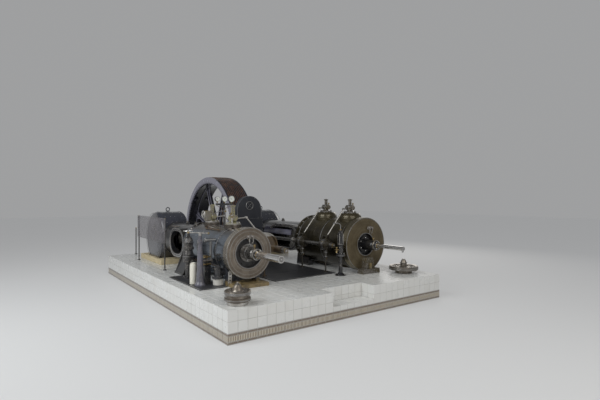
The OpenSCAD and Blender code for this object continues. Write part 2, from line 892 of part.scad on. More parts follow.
// Rope wheel with grooved rim, arms, hub and barring teeth
module wheel_arm() {
    r_flare = rim_rib_r - arm_flare_l;
    plate_x(-arm_web_t / 2, arm_web_t / 2) polygon([
        [hub_r - 20, -arm_root_half], [r_flare, -arm_tip_half], [rim_rib_r + 10, -arm_flare_half],
        [rim_rib_r + 10, arm_flare_half], [r_flare, arm_tip_half], [hub_r - 20, arm_root_half]
    ]);
    translate([0, 0, -arm_rib_t / 2]) linear_extrude(height = arm_rib_t) polygon([
        [-arm_root_half, hub_r - 20], [arm_root_half, hub_r - 20],
        [arm_tip_half, rim_inner_r + 10], [-arm_tip_half, rim_inner_r + 10]
    ]);
}

// The teeth stand inwards on a ring just inside the rim's side face
module barring_ring() {
    r_tip = rim_inner_r - tooth_h;
    notch_w = PI * r_tip / tooth_n;
    notch_h = 0.6 * tooth_h;
    plate_x(-wheel_w / 2 + tooth_inset, -wheel_w / 2 + tooth_inset + tooth_ring_w) difference() {
        circle(rim_inner_r + tooth_inset);
        circle(r_tip);
        for (i = [0 : tooth_n - 1]) rotate(i * 360 / tooth_n)
            translate([r_tip - eps, -notch_w / 2]) square([notch_h + eps, notch_w]);
    }
}

module rope_wheel() {
    color([0.30, 0.29, 0.36]) translate([0, crank_y, axis_z]) {
        difference() {
            xcyl(wheel_r, -wheel_w / 2, wheel_w / 2);
            xcyl(rim_inner_r, -wheel_w / 2 - eps, wheel_w / 2 + eps);
            for (i = [0 : rope_n - 1]) rotate([0, 90, 0]) rotate_extrude()
                translate([wheel_r - rope_d / 4, (i - (rope_n - 1) / 2) * rope_pitch])
                    circle(rope_d / 2 + gap);
        }
        barring_ring();
        difference() {
            union() {
                xcyl(hub_r, -hub_w / 2, hub_w / 2);
                plate_x(-rim_rib_w / 2, rim_rib_w / 2) difference() {
                    circle(rim_inner_r + 10);
                    circle(rim_rib_r);
                }
                for (i = [0 : arm_n - 1]) rotate([i * 360 / arm_n + arm_start_deg, 0, 0]) wheel_arm();
            }
            xcyl(shaft_d / 2, -hub_w, hub_w);
        }
    }
}

module drive_ropes() {
    color([0.35, 0.22, 0.12]) translate([0, crank_y, axis_z])
        for (i = [0 : rope_n - 1]) rotate([0, 90, 0]) rotate_extrude()
            translate([wheel_r - rope_d / 4, (i - (rope_n - 1) / 2) * rope_pitch]) circle(rope_d / 2);
}

// Arched shield in front of the rope wheel, with a round grille
module arch_outline(half_w, h) {
    translate([0, h - half_w]) circle(half_w);
    translate([-half_w, 0]) square([2 * half_w, h - half_w]);
}

shield_wheel_gap = 200;
shield_y = crank_y - wheel_r - shield_wheel_gap;
grille_z = 1290;
shield_t = 8;
grille_bar_w = 14;
grille_ring_w = 22;
skirt_half_w = 350;
skirt_h = 1000;

// Ring with crossed bars, raised on the shield's face
module grille_outline() {
    r = grille_d / 2;
    difference() {
        circle(r);
        circle(r - grille_ring_w);
    }
    intersection() {
        circle(r - grille_ring_w + eps);
        for (a = [45, -45]) rotate(a) square([grille_d, grille_bar_w], center = true);
    }
}

module wheel_shield() {
    color([0.13, 0.14, 0.17]) translate([0, 0, top_z]) {
        plate_y(shield_y - shield_t, shield_y + eps) translate([0, grille_z]) grille_outline();
        plate_y(shield_y, shield_y + shield_t) arch_outline(shield_w / 2, shield_h);
        plate_y(shield_y + shield_t, shield_y + shield_d) difference() {
            arch_outline(shield_w / 2, shield_h);
            translate([0, -eps]) arch_outline(shield_w / 2 - shield_t, shield_h - shield_t + eps);
        }
        block(-skirt_half_w, skirt_half_w, shield_y - shield_t, shield_y + eps, 0, skirt_h);
        for (s = [-1, 1]) block(s * skirt_half_w - shield_t / 2 * (s + 1), s * skirt_half_w - shield_t / 2 * (s - 1),
            shield_y, shield_y + shield_d, 0, skirt_h);
        for (s = [-1, 1]) block(min(s * (shield_w / 2 - shield_t), s * skirt_half_w),
            max(s * (shield_w / 2 - shield_t), s * skirt_half_w), shield_y, shield_y + shield_d,
            skirt_h - shield_t, skirt_h);
    }
}

// Gauge stand between the engines
gauge_x = -bay_x + 482;
gauge_y = cyl_front_y(-1) + 30;
gauge_pitch = 160;
gauge_rs = [49, 58, 67];

module gauge_stand() {
    color([0.16, 0.16, 0.18]) translate([gauge_x, gauge_y, top_z]) {
        zcyl(60, 0, 20);
        zcyl(20, 0, gauge_h - 100);
        block(-gauge_pitch - 30, gauge_pitch + 30, -12, 12, gauge_h - 130, gauge_h - 90);
        for (i = [0 : 2]) {
            x = (i - 1) * gauge_pitch;
            zcyl(9, gauge_h - 95, gauge_h - gauge_rs[i] + 4, x = x);
            ycyl(gauge_rs[i], -22, 22, x = x, z = gauge_h);
        }
    }
}

// Guard in front of the left crank casing
guard_x = -bay_x - casing_out - 235;
guard_front_y = crank_y - 1430;
guard_back_y = crank_y + 360;
far_post_x = -bay_x - 350;
far_post_y = plinth_l / 2 - 100;
far_post_h = 690;
panel_z0 = 550;
panel_z1 = 1050;
post_r = 13;

module guard_posts() {
    color([0.12, 0.12, 0.13]) translate([0, 0, top_z]) {
        for (y = [guard_front_y, guard_back_y]) {
            zcyl(post_r, 0, panel_z1, x = guard_x, y = y);
            zcyl(34, 0, 12, x = guard_x, y = y);
        }
        zcyl(post_r, 0, far_post_h, x = far_post_x, y = far_post_y);
        zcyl(34, 0, 12, x = far_post_x, y = far_post_y);
    }
}

module guard_panel() {
    bar = 8;
    y0 = guard_front_y - 60;
    y1 = guard_back_y + 40;
    x0 = guard_x - post_r - bar;
    bars = 15;
    color([0.45, 0.44, 0.47]) translate([0, 0, top_z]) {
        for (z = [panel_z0, (panel_z0 + panel_z1 - bar) / 2, panel_z1 - bar]) block(x0, x0 + bar, y0, y1, z, z + bar);
        for (i = [0 : bars]) translate([0, y0 + i * (y1 - y0 - bar) / bars, 0])
            block(x0, x0 + bar, 0, bar, panel_z0, panel_z1);
    }
}

// Small standing pieces, placed from what they stand beside
module indicator_column() {
    x = side_plate[0] + 150;
    color([0.36, 0.36, 0.40]) translate([x, cover_y(-1) + 500, top_z + plate_t]) turned_z([
        [0, 0], [90, 0], [90, 12], [80, 20], [66, 60], [57, 150], [49, 320], [42, 540], [36, 700],
        [48, 712], [48, 745], [30, 760], [30, 822], [0, 822]
    ]);
}

module drain_column() {
    color([0.08, 0.08, 0.09]) translate([bay_x - 620, cover_y(1) + 50, top_z]) turned_z([
        [0, 0], [100, 0], [100, 18], [60, 32], [38, 60], [36, 350], [84, 362], [84, 410], [48, 424],
        [54, 500], [48, 556], [58, 566], [58, 586], [45, 592], [45, 770], [54, 780], [54, 800],
        [26, 812], [26, 850], [0, 850]
    ]);
}

// Drip box with its cock block, and the lagged stub of the small cylinder's drain
drip_box_w = 105;
drip_box_h = 295;
cock_block_h = 190;
stub_r = 75;
stub_h = 112;
stub_flange_r = 100;
stub_pipe_z = 215;
stub_pipe_r = 60;
stub_reach = 300;

module drip_box() {
    half = drip_box_w / 2;
    block(-half, half, -half, half, 0, drip_box_h);
    block(-half + 8, half - 8, -32, 32, drip_box_h - eps, drip_box_h + 60);
    zcyl(30, drip_box_h, drip_box_h + cock_block_h, x = -20);
    zcyl(42, drip_box_h + 70, drip_box_h + 95, x = -20);
    xcyl(24, -20, 112, z = drip_box_h + 88);
    xcyl(34, 60, 82, z = drip_box_h + 88);
    zcyl(8, 0, drip_box_h + 88, x = 70);
    zcyl(22, 0, 10, x = 70);
}

module drain_stub() {
    zcyl(stub_r, 0, stub_h);
    zcyl(stub_flange_r, stub_h, stub_h + 36);
    zcyl(stub_pipe_r + 6, stub_h, stub_pipe_z + stub_pipe_r + 10);
    zcyl(stub_pipe_r - 20, stub_h, stub_pipe_z + stub_pipe_r + 26);
    xcyl(stub_pipe_r, 0, stub_reach, z = stub_pipe_z);
}

module drain_fittings() {
    $fn = 180;
    color([0.10, 0.10, 0.11]) {
        translate([side_plate[0] + 300, cover_y(-1) + 580, top_z + plate_t]) drip_box();
        difference() {
            translate([side_plate[1] - stub_r, cover_y(-1) + 350, top_z + plate_t]) drain_stub();
            engine(-1) ycyl(barrel_r(-1) + gap, cover_y(-1), cyl_front_y(-1));
        }
    }
}

module stop_valve() {
    color([0.09, 0.09, 0.10]) translate([side_plate[0] + 250, valve_y(-1, 1) - 170, top_z + plate_t]) turned_z([
        [0, 0], [95, 0], [95, 25], [50, 35], [50, 270], [88, 285], [96, 350], [96, 430], [80, 500],
        [100, 520], [100, 550], [80, 570], [92, 640], [70, 720], [30, 760], [30, 800], [0, 800]
    ]);
}

module oil_can() {
    color([0.85, 0.83, 0.76]) translate([side_plate[0] + 110, cover_y(-1) + 680, top_z + plate_t]) turned_z([
        [0, 0], [60, 0], [62, 6], [62, 318], [58, 330], [58, 340], [61, 346], [0, 346]
    ]);
}

module small_spare_piston() {
    color([0.50, 0.47, 0.42]) translate([-plinth_w / 2 + 283, -plinth_l / 2 + 261, top_z]) turned_z([
        [0, 0], [148, 0], [150, 44], [178, 54], [182, 60], [182, 92], [164, 98], [160, 118],
        [164, 132], [182, 138], [182, 184], [176, 190], [160, 182], [92, 176], [74, 198],
        [62, 232], [44, 262], [20, 284], [0, 288]
    ]);
}

module large_spare_piston() {
    color([0.55, 0.53, 0.50]) translate([plinth_w / 2 - 413, -plinth_l / 2 + 528, top_z]) turned_z([
        [0, 0], [158, 0], [164, 40], [205, 52], [270, 60], [280, 68], [280, 118], [270, 132],
        [236, 126], [216, 114], [96, 108], [62, 126], [58, 200], [42, 246], [20, 258], [0, 262]
    ]);
}

plinth();
floor_plates();
left_cylinder();
right_cylinder();
left_rear_cover();
right_rear_cover();
left_tail_gland();
right_tail_gland();
left_cylinder_foot();
right_cylinder_foot();
left_guide();
right_guide();
right_guide_hood();
left_crank_casing();
right_crank_casing();
casing_boards();
left_main_bearing();
right_main_bearing();
gear_cases();
left_valve_bonnets();
right_valve_bonnets();
left_valve_gear();
right_valve_gear();
left_piston_rod();
right_piston_rod();
left_crosshead();
right_crosshead();
left_connecting_rod();
right_connecting_rod();
left_lay_shaft();
right_lay_shaft();
crankshaft();
rope_wheel();
drive_ropes();
wheel_shield();
gauge_stand();
guard_posts();
guard_panel();
indicator_column();
drain_column();
drain_fittings();
stop_valve();
oil_can();
small_spare_piston();
large_spare_piston();
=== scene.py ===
"""Looks of a horizontal twin-cylinder steam engine with a rope wheel, on its tiled plinth.

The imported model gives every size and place, in metres, with +Y from the tail rods towards the
crankshaft, +X to the right and +Z up. Each class below dresses one sub-assembly of the engine.
"""
from __future__ import annotations

import logging
import math
from dataclasses import dataclass
from enum import Enum
from functools import cached_property
from typing import Any, Callable, ClassVar, Sequence

import bmesh
import bpy
from mathutils import Matrix, Vector

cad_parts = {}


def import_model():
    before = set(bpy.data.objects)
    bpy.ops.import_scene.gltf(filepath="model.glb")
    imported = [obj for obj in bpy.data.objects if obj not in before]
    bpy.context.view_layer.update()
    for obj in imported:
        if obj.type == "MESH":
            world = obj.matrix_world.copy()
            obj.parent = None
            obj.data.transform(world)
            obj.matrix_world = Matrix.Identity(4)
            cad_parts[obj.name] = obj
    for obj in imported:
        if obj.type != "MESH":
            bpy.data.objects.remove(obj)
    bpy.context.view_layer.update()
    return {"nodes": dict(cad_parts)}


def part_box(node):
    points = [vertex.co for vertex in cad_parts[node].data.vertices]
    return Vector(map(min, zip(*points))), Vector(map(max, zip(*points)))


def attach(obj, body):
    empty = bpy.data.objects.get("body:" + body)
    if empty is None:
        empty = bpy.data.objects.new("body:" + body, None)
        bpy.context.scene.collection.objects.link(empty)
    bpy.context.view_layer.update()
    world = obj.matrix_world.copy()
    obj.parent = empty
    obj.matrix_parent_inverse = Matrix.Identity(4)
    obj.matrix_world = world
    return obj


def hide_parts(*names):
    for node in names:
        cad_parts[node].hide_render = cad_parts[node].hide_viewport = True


LOG = logging.getLogger("engine")

Colour = tuple[float, float, float]
Point = Sequence[float]
Profile = Sequence[tuple[float, float]]
TAU = 2 * math.pi
SMOOTH_ANGLE = math.radians(32)
POINTED = 1e-6
WIRE_RADIUS = 0.008


def spread(first: float, last: float, count: int) -> list[float]:
    """Gives evenly spaced numbers from the first to the last."""
    return [first + (last - first) * k / (count - 1) for k in range(count)]


def round_turns(count: int, start: float = 0.0) -> list[float]:
    """Gives the evenly spaced angles of a full turn."""
    return [start + TAU * k / count for k in range(count)]


def dimmed(colour: Colour, share: float) -> Colour:
    """Gives a darker tone of a colour."""
    return tuple(share * part for part in colour)


def corners(node: str) -> tuple[Vector, Vector]:
    """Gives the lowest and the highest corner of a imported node."""
    low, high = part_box(node)
    return Vector(low), Vector(high)


def shown(name: str, data: bpy.types.ID) -> bpy.types.Object:
    """Puts new data into the scene as an object.

    Args:
        name: The object's name.
        data: What the object shows.

    Returns:
        The object.
    """
    made = bpy.data.objects.new(name, data)
    bpy.context.scene.collection.objects.link(made)
    return made


class Axis(Enum):
    """The axis that a form follows, as the order in which across, up and along give X, Y and Z."""

    X = (2, 0, 1)
    Y = (0, 2, 1)
    Z = (0, 1, 2)

    def place(self, centre: Point, across: float, up: float, along: float) -> Vector:
        """Gives the point at two offsets across the axis and one along it.

        Args:
            centre: The point that the offsets start from.
            across: Offset along Y for the X axis, or else along X.
            up: Offset along Z, or along Y for the Z axis.
            along: Offset along the axis itself.

        Returns:
            The point.
        """
        offset = (across, up, along)
        return Vector(centre) + Vector([offset[i] for i in self.value])

    def out(self, turn: float, reach: float = 1.0) -> Vector:
        """Gives the offset away from the axis at a turn round it."""
        return self.place((0, 0, 0), reach * math.cos(turn), reach * math.sin(turn), 0.0)

    def turn(self) -> Matrix:
        """Gives the rotation that takes the Z axis onto this axis."""
        if self is Axis.Z:
            return Matrix.Identity(4)
        if self is Axis.X:
            return Matrix.Rotation(math.pi / 2, 4, "Y")
        return Matrix.Rotation(-math.pi / 2, 4, "X")


def sign_method(operation: str, swapped: bool = False) -> Callable[[Value, Number], Value]:
    """Makes the method behind one of Python's arithmetic signs.

    Args:
        operation: The Math node's operation.
        swapped: True where the value stands behind the sign.

    Returns:
        The method, which adds the Math node.
    """
    def method(self: Value, other: Number) -> Value:
        """Adds the sign's Math node."""
        return self.graph.math(operation, *((other, self) if swapped else (self, other)))
    return method


class Value:
    """A node's output that takes part in Python arithmetic by adding Math nodes."""

    __add__, __radd__ = sign_method("ADD"), sign_method("ADD", True)
    __sub__, __rsub__ = sign_method("SUBTRACT"), sign_method("SUBTRACT", True)
    __mul__, __rmul__ = sign_method("MULTIPLY"), sign_method("MULTIPLY", True)
    __truediv__, __rtruediv__ = sign_method("DIVIDE"), sign_method("DIVIDE", True)
    __mod__, __rmod__ = sign_method("FLOORED_MODULO"), sign_method("FLOORED_MODULO", True)
    most = sign_method("MAXIMUM")

    def __init__(self, graph: Graph, socket: bpy.types.NodeSocket) -> None:
        """Keeps the graph and the socket that the value comes from."""
        self.graph = graph
        self.socket = socket

    def __abs__(self) -> Value:
        """Drops the sign."""
        return self.graph.math("ABSOLUTE", self)

    def step(self, low: float, high: float) -> Value:
        """Runs smoothly from 0 at low to 1 at high, or down where low is the higher.

        Args:
            low: Where it starts.
            high: Where it ends.

        Returns:
            The value from 0 to 1.
        """
        if low > high:
            return 1 - self.step(high, low)
        settings = {"interpolation_type": "SMOOTHSTEP"}
        return self.graph.node("MapRange", settings, Value=self, From_Min=low, From_Max=high)

    def output(self, name: str) -> Value:
        """Gives another output of the node that this value comes from."""
        return Value(self.graph, self.socket.node.outputs[name])


Number = Value | float


class Graph:
    """A node tree that is written in Python expressions."""

    family: ClassVar[str] = "Shader"

    def __init__(self, tree: bpy.types.NodeTree) -> None:
        """Keeps the tree that gets the nodes."""
        self.tree = tree

    def node(self, kind: str, settings: dict[str, Any] | None = None, sockets: dict[int, Any] | None = None,
             output: str | int = 0, family: str | None = None, **named: Any) -> Value:
        """Adds one node.

        Args:
            kind: The node's type, without its family in front.
            settings: Its settings, which are set first.
            sockets: The values or links of sockets, by number.
            output: The output that is wanted.
            family: The node's family, where it isn't the tree's own.
            **named: The values or links of sockets by name, with underscores for spaces.

        Returns:
            The value at that output.
        """
        made = self.tree.nodes.new(f"{family or self.family}Node{kind}")
        for name, setting in (settings or {}).items():
            setattr(made, name, setting)
        given = {name.replace("_", " "): value for name, value in named.items()} | (sockets or {})
        for key, value in given.items():
            socket = made.inputs[key]
            if isinstance(value, Value):
                self.tree.links.new(value.socket, socket)
            elif value is not None:
                socket.default_value = (*value, 1.0) if socket.type == "RGBA" else value
        return Value(self, made.outputs[output])

    def math(self, operation: str, *terms: Number) -> Value:
        """Adds a Math node for one operation on its terms."""
        return self.node("Math", {"operation": operation}, dict(enumerate(terms)), family="Shader")

    def join(self, x: Number = 0.0, y: Number = 0.0, z: Number = 0.0) -> Value:
        """Joins three values into a vector."""
        return self.node("CombineXYZ", family="Shader", X=x, Y=y, Z=z)


class ShaderGraph(Graph):
    """The node tree of one material or world."""

    def __init__(self, owner: bpy.types.Material | bpy.types.World) -> None:
        """Empties the owner's tree and adds its output.

        Args:
            owner: The material or the world.
        """
        owner.use_nodes = True
        super().__init__(owner.node_tree)
        self.tree.nodes.clear()
        kind = "World" if isinstance(owner, bpy.types.World) else "Material"
        self.exit = self.tree.nodes.new(f"ShaderNodeOutput{kind}")

    @cached_property
    def place(self) -> Value:
        """The position on the object."""
        return self.node("TexCoord", output="Object")

    def parts(self, vector: Value) -> tuple[Value, Value, Value]:
        """Splits a vector into its X, Y and Z."""
        split = self.node("SeparateXYZ", Vector=vector)
        return split, split.output("Y"), split.output("Z")

    def vectors(self, operation: str, *terms: Value | Point) -> Value:
        """Adds a Vector Math node."""
        return self.node("VectorMath", {"operation": operation}, dict(enumerate(terms)))

    def scaled(self, scale: Point) -> Value:
        """Gives the position on the object, stretched along each axis."""
        return self.vectors("MULTIPLY", self.place, tuple(scale))

    def off_axis(self, centre: tuple[float, float]) -> tuple[Value, Value, Value]:
        """Gives how far a place is across and above an axis along Y, and its distance from it.

        Args:
            centre: X and Z of the axis.

        Returns:
            Across, up and the distance.
        """
        x, _, z = self.parts(self.place)
        across, up = x - centre[0], z - centre[1]
        return across, up, self.math("SQRT", across * across + up * up)

    def noise(self, scale: float, detail: float, rough: float, distortion: float = 0.0,
              at: Value | None = None) -> Value:
        """Gives a noise from 0 to 1 at a scale in waves per metre, on the object or at a vector."""
        return self.node("TexNoise", Vector=at or self.place, Scale=scale, Detail=detail, Roughness=rough,
                         Distortion=distortion)

    def mix(self, factor: Number, first: Value | Colour, second: Value | Colour) -> Value:
        """Mixes two colours by a factor."""
        return self.node("Mix", {"data_type": "RGBA"}, {0: factor, 6: first, 7: second}, output=2)

    def bump(self, height: Value, depth: float, strength: float = 1.0) -> Value:
        """Gives the normal of a height from 0 to 1, at a depth in metres."""
        return self.node("Bump", Height=height, Distance=depth, Strength=strength)

    def surface(self, base: Value | Colour, roughness: Number, metallic: Number = 0.0,
                normal: Value | None = None, **more: Any) -> None:
        """Adds the surface shader and links it to the output.

        Args:
            base: The base colour.
            roughness: The roughness.
            metallic: How metallic the surface is.
            normal: The bumped normal, if there is one.
            **more: Other sockets, with underscores for spaces.
        """
        self.leave(self.node("BsdfPrincipled", Base_Color=base, Roughness=roughness, Metallic=metallic,
                             Normal=normal, **more))

    def leave(self, shader: Value) -> None:
        """Links a shader to the output."""
        self.tree.links.new(shader.socket, self.exit.inputs["Surface"])


@dataclass(frozen=True)
class Finish:
    """A finish that a surface of the engine gets."""

    name: str

    made: ClassVar[dict[str, bpy.types.Material]] = {}

    def material(self) -> bpy.types.Material:
        """Gives the finish's material, made the first time that it is asked for.

        Returns:
            The material.
        """
        if self.name not in Finish.made:
            Finish.made[self.name] = material = bpy.data.materials.new(self.name)
            self.build(ShaderGraph(material))
        return Finish.made[self.name]

    def build(self, graph: ShaderGraph) -> None:
        """Writes the finish's nodes."""
        raise NotImplementedError


@dataclass(frozen=True)
class Paint(Finish):
    """Old gloss paint on iron, with oily patches, dust and rubbed spots."""

    colour: Colour
    patch: Colour
    rubbed: Colour = (0.22, 0.20, 0.18)
    wear: float = 0.12
    gloss: float = 0.34
    coat: float = 0.35
    casting: float = 0.0006

    def build(self, graph: ShaderGraph) -> None:
        """Writes cloudy colour, rubbed spots, runs of oil and the casting's skin."""
        cloud = graph.noise(3.1, 4.0, 0.6)
        runs = graph.noise(1.0, 4.0, 0.6, at=graph.scaled((9.0, 9.0, 1.4))).step(0.52, 0.78)
        spots = graph.noise(46.0, 5.0, 0.68)
        rub = (spots + cloud * 0.5).step(1.0 - self.wear * 1.6, 1.0 - self.wear * 1.6 + 0.06)
        tone = graph.mix(cloud.step(0.38, 0.66), self.colour, self.patch)
        base = graph.mix(rub, graph.mix(runs * 0.45, tone, dimmed(self.patch, 0.45)), self.rubbed)
        rough = self.gloss + (cloud - 0.5) * 0.22 + rub * 0.2 - runs * 0.08
        skin = graph.noise(190.0, 2.0, 0.5)
        graph.surface(base, rough.most(0.12), rub * 0.6, graph.bump(skin + rub * -0.6, self.casting),
                      Coat_Weight=self.coat, Coat_Roughness=0.18)

    def worn(self, graph: ShaderGraph, cloud: Value, rub: Value, low: float = 0.36,
             high: float = 0.66) -> Value:
        """Gives the clouded colour of the paint, rubbed where a mask says."""
        return graph.mix(rub, graph.mix(cloud.step(low, high), self.colour, self.patch), self.rubbed)


@dataclass(frozen=True)
class TurnedIron(Finish):
    """A cover turned on a lathe, waxed brown with age, with a brighter edge."""

    centre: tuple[float, float]
    radius: float
    colour: Colour
    aged: Colour
    bright: Colour = (0.62, 0.59, 0.54)

    def build(self, graph: ShaderGraph) -> None:
        """Writes the turning marks, the stains and the bright edge."""
        radius = graph.off_axis(self.centre)[2]
        rings = graph.noise(1.0, 3.0, 0.7, at=graph.join(radius * 260.0))
        wide = graph.noise(1.0, 2.0, 0.5, at=graph.join(radius * 22.0))
        stain = graph.noise(7.0, 6.0, 0.66)
        speck = graph.noise(70.0, 4.0, 0.7)
        tone = graph.mix((stain * 0.6 + wide * 0.4).step(0.36, 0.62), self.colour, self.aged)
        fine = graph.mix(rings.step(0.35, 0.75) * 0.22, tone, self.bright)
        dark = graph.mix(speck.step(0.60, 0.74) * 0.5, fine, dimmed(self.aged, 0.4))
        edge = radius.step(self.radius - 0.017, self.radius - 0.011)
        base = graph.mix(edge * (0.95 - stain * 0.4), dark, self.bright)
        rough = 0.36 + stain * 0.16 - rings * 0.1 - edge * 0.12
        graph.surface(base, rough, 0.72 + edge * 0.2, graph.bump(rings + stain * 0.8, 0.0005, 0.8))


@dataclass(frozen=True)
class Bright(Finish):
    """Machined steel or brass, wiped with oil, with fine marks and some tarnish."""

    colour: Colour
    tarnish: Colour
    rough: float = 0.24
    stain: float = 0.4
    marks: Point = (40.0, 40.0, 40.0)

    def build(self, graph: ShaderGraph) -> None:
        """Writes the tool marks, the tarnish and the oil film."""
        tool = graph.noise(6.0, 3.0, 0.6, at=graph.scaled(self.marks))
        cloud = graph.noise(9.0, 5.0, 0.64)
        pit = graph.noise(120.0, 3.0, 0.6)
        tarnish = (cloud + pit * 0.3).step(0.56, 0.86) * self.stain
        tone = graph.mix(tool.step(0.3, 0.8) * 0.25, self.colour, dimmed(self.colour, 0.72))
        rough = self.rough + tarnish * 0.3 + (tool - 0.5) * 0.16
        graph.surface(graph.mix(tarnish, tone, self.tarnish), rough.most(0.08), 0.96 - tarnish * 0.5,
                      graph.bump(tool + pit * 0.4, 0.00025, 0.7))


@dataclass(frozen=True)
class Lagging(Finish):
    """Planished sheet steel round a cylinder, heat-tinted and oiled, with a painted reflection along its top."""

    sheet: Colour
    tint: Colour
    smoke: Colour
    centre: tuple[float, float]
    metal: float
    rough: float
    # Colour of a painted reflection along the top of the barrel.
    top: Colour
    streaks: float = 0.3

    def build(self, graph: ShaderGraph) -> None:
        """Writes the tinted sheet, the painted reflection along its top, its hammer marks and its streaks."""
        across, up, _ = graph.off_axis(self.centre)
        y = graph.parts(graph.place)[1]
        turn = graph.math("ARCTAN2", across, up)
        tint = graph.noise(2.2, 5.0, 0.62, 0.6, graph.join(turn * 0.9, y * 2.2))
        streak = graph.noise(1.0, 3.0, 0.6, at=graph.join(turn * 1.4, y * 42.0, 0.3))
        dents = graph.noise(21.0, 2.0, 0.45)
        dust = graph.noise(85.0, 4.0, 0.7)
        tone = graph.mix(tint.step(0.34, 0.68), self.sheet, self.tint)
        # Painted reflection: above a height over the axis the sheet turns to the top colour.
        tone = graph.mix((up + (tint - 0.5) * 0.12).step(0.24, 0.40) * 0.85, tone, self.top)
        smoky = graph.mix(streak.step(0.5, 0.8) * self.streaks, tone, self.smoke)
        base = graph.mix(dust.step(0.62, 0.8) * 0.25, smoky, self.smoke)
        rough = self.rough + (tint - 0.5) * 0.14 + dust * 0.08
        graph.surface(base, rough.most(0.14), self.metal, graph.bump(dents + streak * 0.2, 0.0007, 0.7))


@dataclass(frozen=True)
class Glaze(Finish):
    """White glazed wall tiles, each with a slightly different tone."""

    pitch: float
    colour: Colour = (0.70, 0.70, 0.68)
    warm: Colour = (0.63, 0.62, 0.585)
    grime: Colour = (0.42, 0.40, 0.36)

    def build(self, graph: ShaderGraph) -> None:
        """Writes each tile's tone, its scuffs, specks of grime and the glaze's waves."""
        facing = graph.vectors("ABSOLUTE", graph.node("NewGeometry", output="True Normal"))
        half = graph.vectors("MULTIPLY", facing, (0.5,) * 3)
        cell = graph.vectors("FLOOR", graph.vectors("MULTIPLY_ADD", graph.place, (1 / self.pitch,) * 3, half))
        tone = graph.node("TexWhiteNoise", Vector=cell)
        scuff = graph.noise(5.5, 6.0, 0.66)
        grime = graph.noise(38.0, 4.0, 0.66)
        base = graph.mix(tone * 0.55 + scuff.step(0.45, 0.75) * 0.35, self.colour, self.warm)
        base = graph.mix(grime.step(0.62, 0.8) * 0.06, base, self.grime)
        wave = graph.noise(16.0, 2.0, 0.4)
        graph.surface(base, 0.16 + scuff * 0.22 + tone * 0.05, 0.0, graph.bump(wave, 0.0012, 0.5),
                      Coat_Weight=0.3, Coat_Roughness=0.08)


@dataclass(frozen=True)
class BorderGlaze(Finish):
    """Glazed border tiles with a plain repeat of brown ribs between two cream bands."""

    pitch: float
    low: float
    high: float
    cream: Colour = (0.62, 0.57, 0.46)
    brown: Colour = (0.16, 0.11, 0.075)
    grey: Colour = (0.30, 0.29, 0.27)
    dirt: Colour = (0.34, 0.32, 0.28)

    def build(self, graph: ShaderGraph) -> None:
        """Writes the ribs, their rounded heads and the bands."""
        x, y, z = graph.parts(graph.place)
        rib = abs((x + y) / (self.pitch / 6) % 1.0 - 0.5) * 2.0
        middle = abs((z - self.low) / (self.high - self.low) - 0.5)
        head = (middle * 2.0 + rib * 0.4).step(0.80, 0.92)
        ribs = rib.step(0.42, 0.58) * (1 - head)
        band = middle.step(0.41, 0.43)
        hoop = (abs(middle - 0.25) * 8.0 + rib * 0.7).step(0.9, 0.6)
        tone = graph.mix(hoop * 0.7, graph.mix(ribs, self.brown, self.cream), self.grey)
        dirt = graph.noise(8.0, 5.0, 0.65)
        base = graph.mix(dirt.step(0.45, 0.75) * 0.4, graph.mix(band, tone, self.grey), self.dirt)
        graph.surface(base, 0.2 + dirt * 0.25, 0.0, graph.bump(ribs + band, 0.0012, 0.8),
                      Coat_Weight=0.4, Coat_Roughness=0.1)


@dataclass(frozen=True)
class Mortar(Finish):
    """Cement joints, the rough walls of the wheel's pit and cloth laid in plaster."""

    colour: Colour = (0.50, 0.49, 0.46)
    sand: Colour = (0.58, 0.57, 0.54)

    def build(self, graph: ShaderGraph) -> None:
        """Writes sandy, damp cement."""
        grain = graph.noise(240.0, 3.0, 0.6)
        damp = graph.noise(4.0, 5.0, 0.62)
        tone = graph.mix(damp.step(0.4, 0.7), self.colour, dimmed(self.colour, 0.72))
        base = graph.mix(grain.step(0.5, 0.7) * 0.3, tone, self.sand)
        graph.surface(base, 0.86 - damp * 0.1, 0.0, graph.bump(grain + damp * 2.0, 0.0015, 0.8))


@dataclass(frozen=True)
class Timber(Finish):
    """Pale pine boards whose grain runs along one axis."""

    grain: Point
    light: Colour = (0.66, 0.57, 0.38)
    dark: Colour = (0.42, 0.32, 0.17)
    stain: Colour = (0.30, 0.25, 0.17)

    def build(self, graph: ShaderGraph) -> None:
        """Writes the growth rings, the fibres and the handling marks."""
        rings = graph.noise(1.0, 3.0, 0.5, 1.2, graph.scaled(self.grain))
        fibre = graph.noise(1.0, 3.0, 0.7, at=graph.scaled(tuple(9 * g for g in self.grain)))
        wave = abs((rings * 9.0) % 1.0 - 0.5) * 2.0
        stain = graph.noise(6.0, 5.0, 0.62)
        tone = graph.mix(wave * 0.45 + fibre * 0.3, self.light, self.dark)
        base = graph.mix(stain.step(0.5, 0.8) * 0.45, tone, self.stain)
        graph.surface(base, 0.62 + fibre * 0.15, 0.0, graph.bump(wave * 0.5 + fibre, 0.0008, 0.8))


@dataclass(frozen=True)
class Hemp(Finish):
    """Tarred hemp strands, patched dark with tar."""

    fibre: Colour = (0.165, 0.066, 0.024)
    tar: Colour = (0.020, 0.012, 0.008)
    worn: Colour = (0.26, 0.13, 0.06)

    def build(self, graph: ShaderGraph) -> None:
        """Writes the yarns, the tar and the worn outer fibres."""
        yarn = graph.noise(310.0, 3.0, 0.7)
        tar = graph.noise(11.0, 5.0, 0.66)
        worn = graph.noise(42.0, 4.0, 0.7)
        tone = graph.mix((tar * 0.6 + yarn * 0.4).step(0.42, 0.64), self.tar, self.fibre)
        base = graph.mix(worn.step(0.56, 0.78) * 0.4, tone, self.worn)
        graph.surface(base, 0.7 + yarn * 0.15, 0.0, graph.bump(yarn, 0.0012, 0.9))


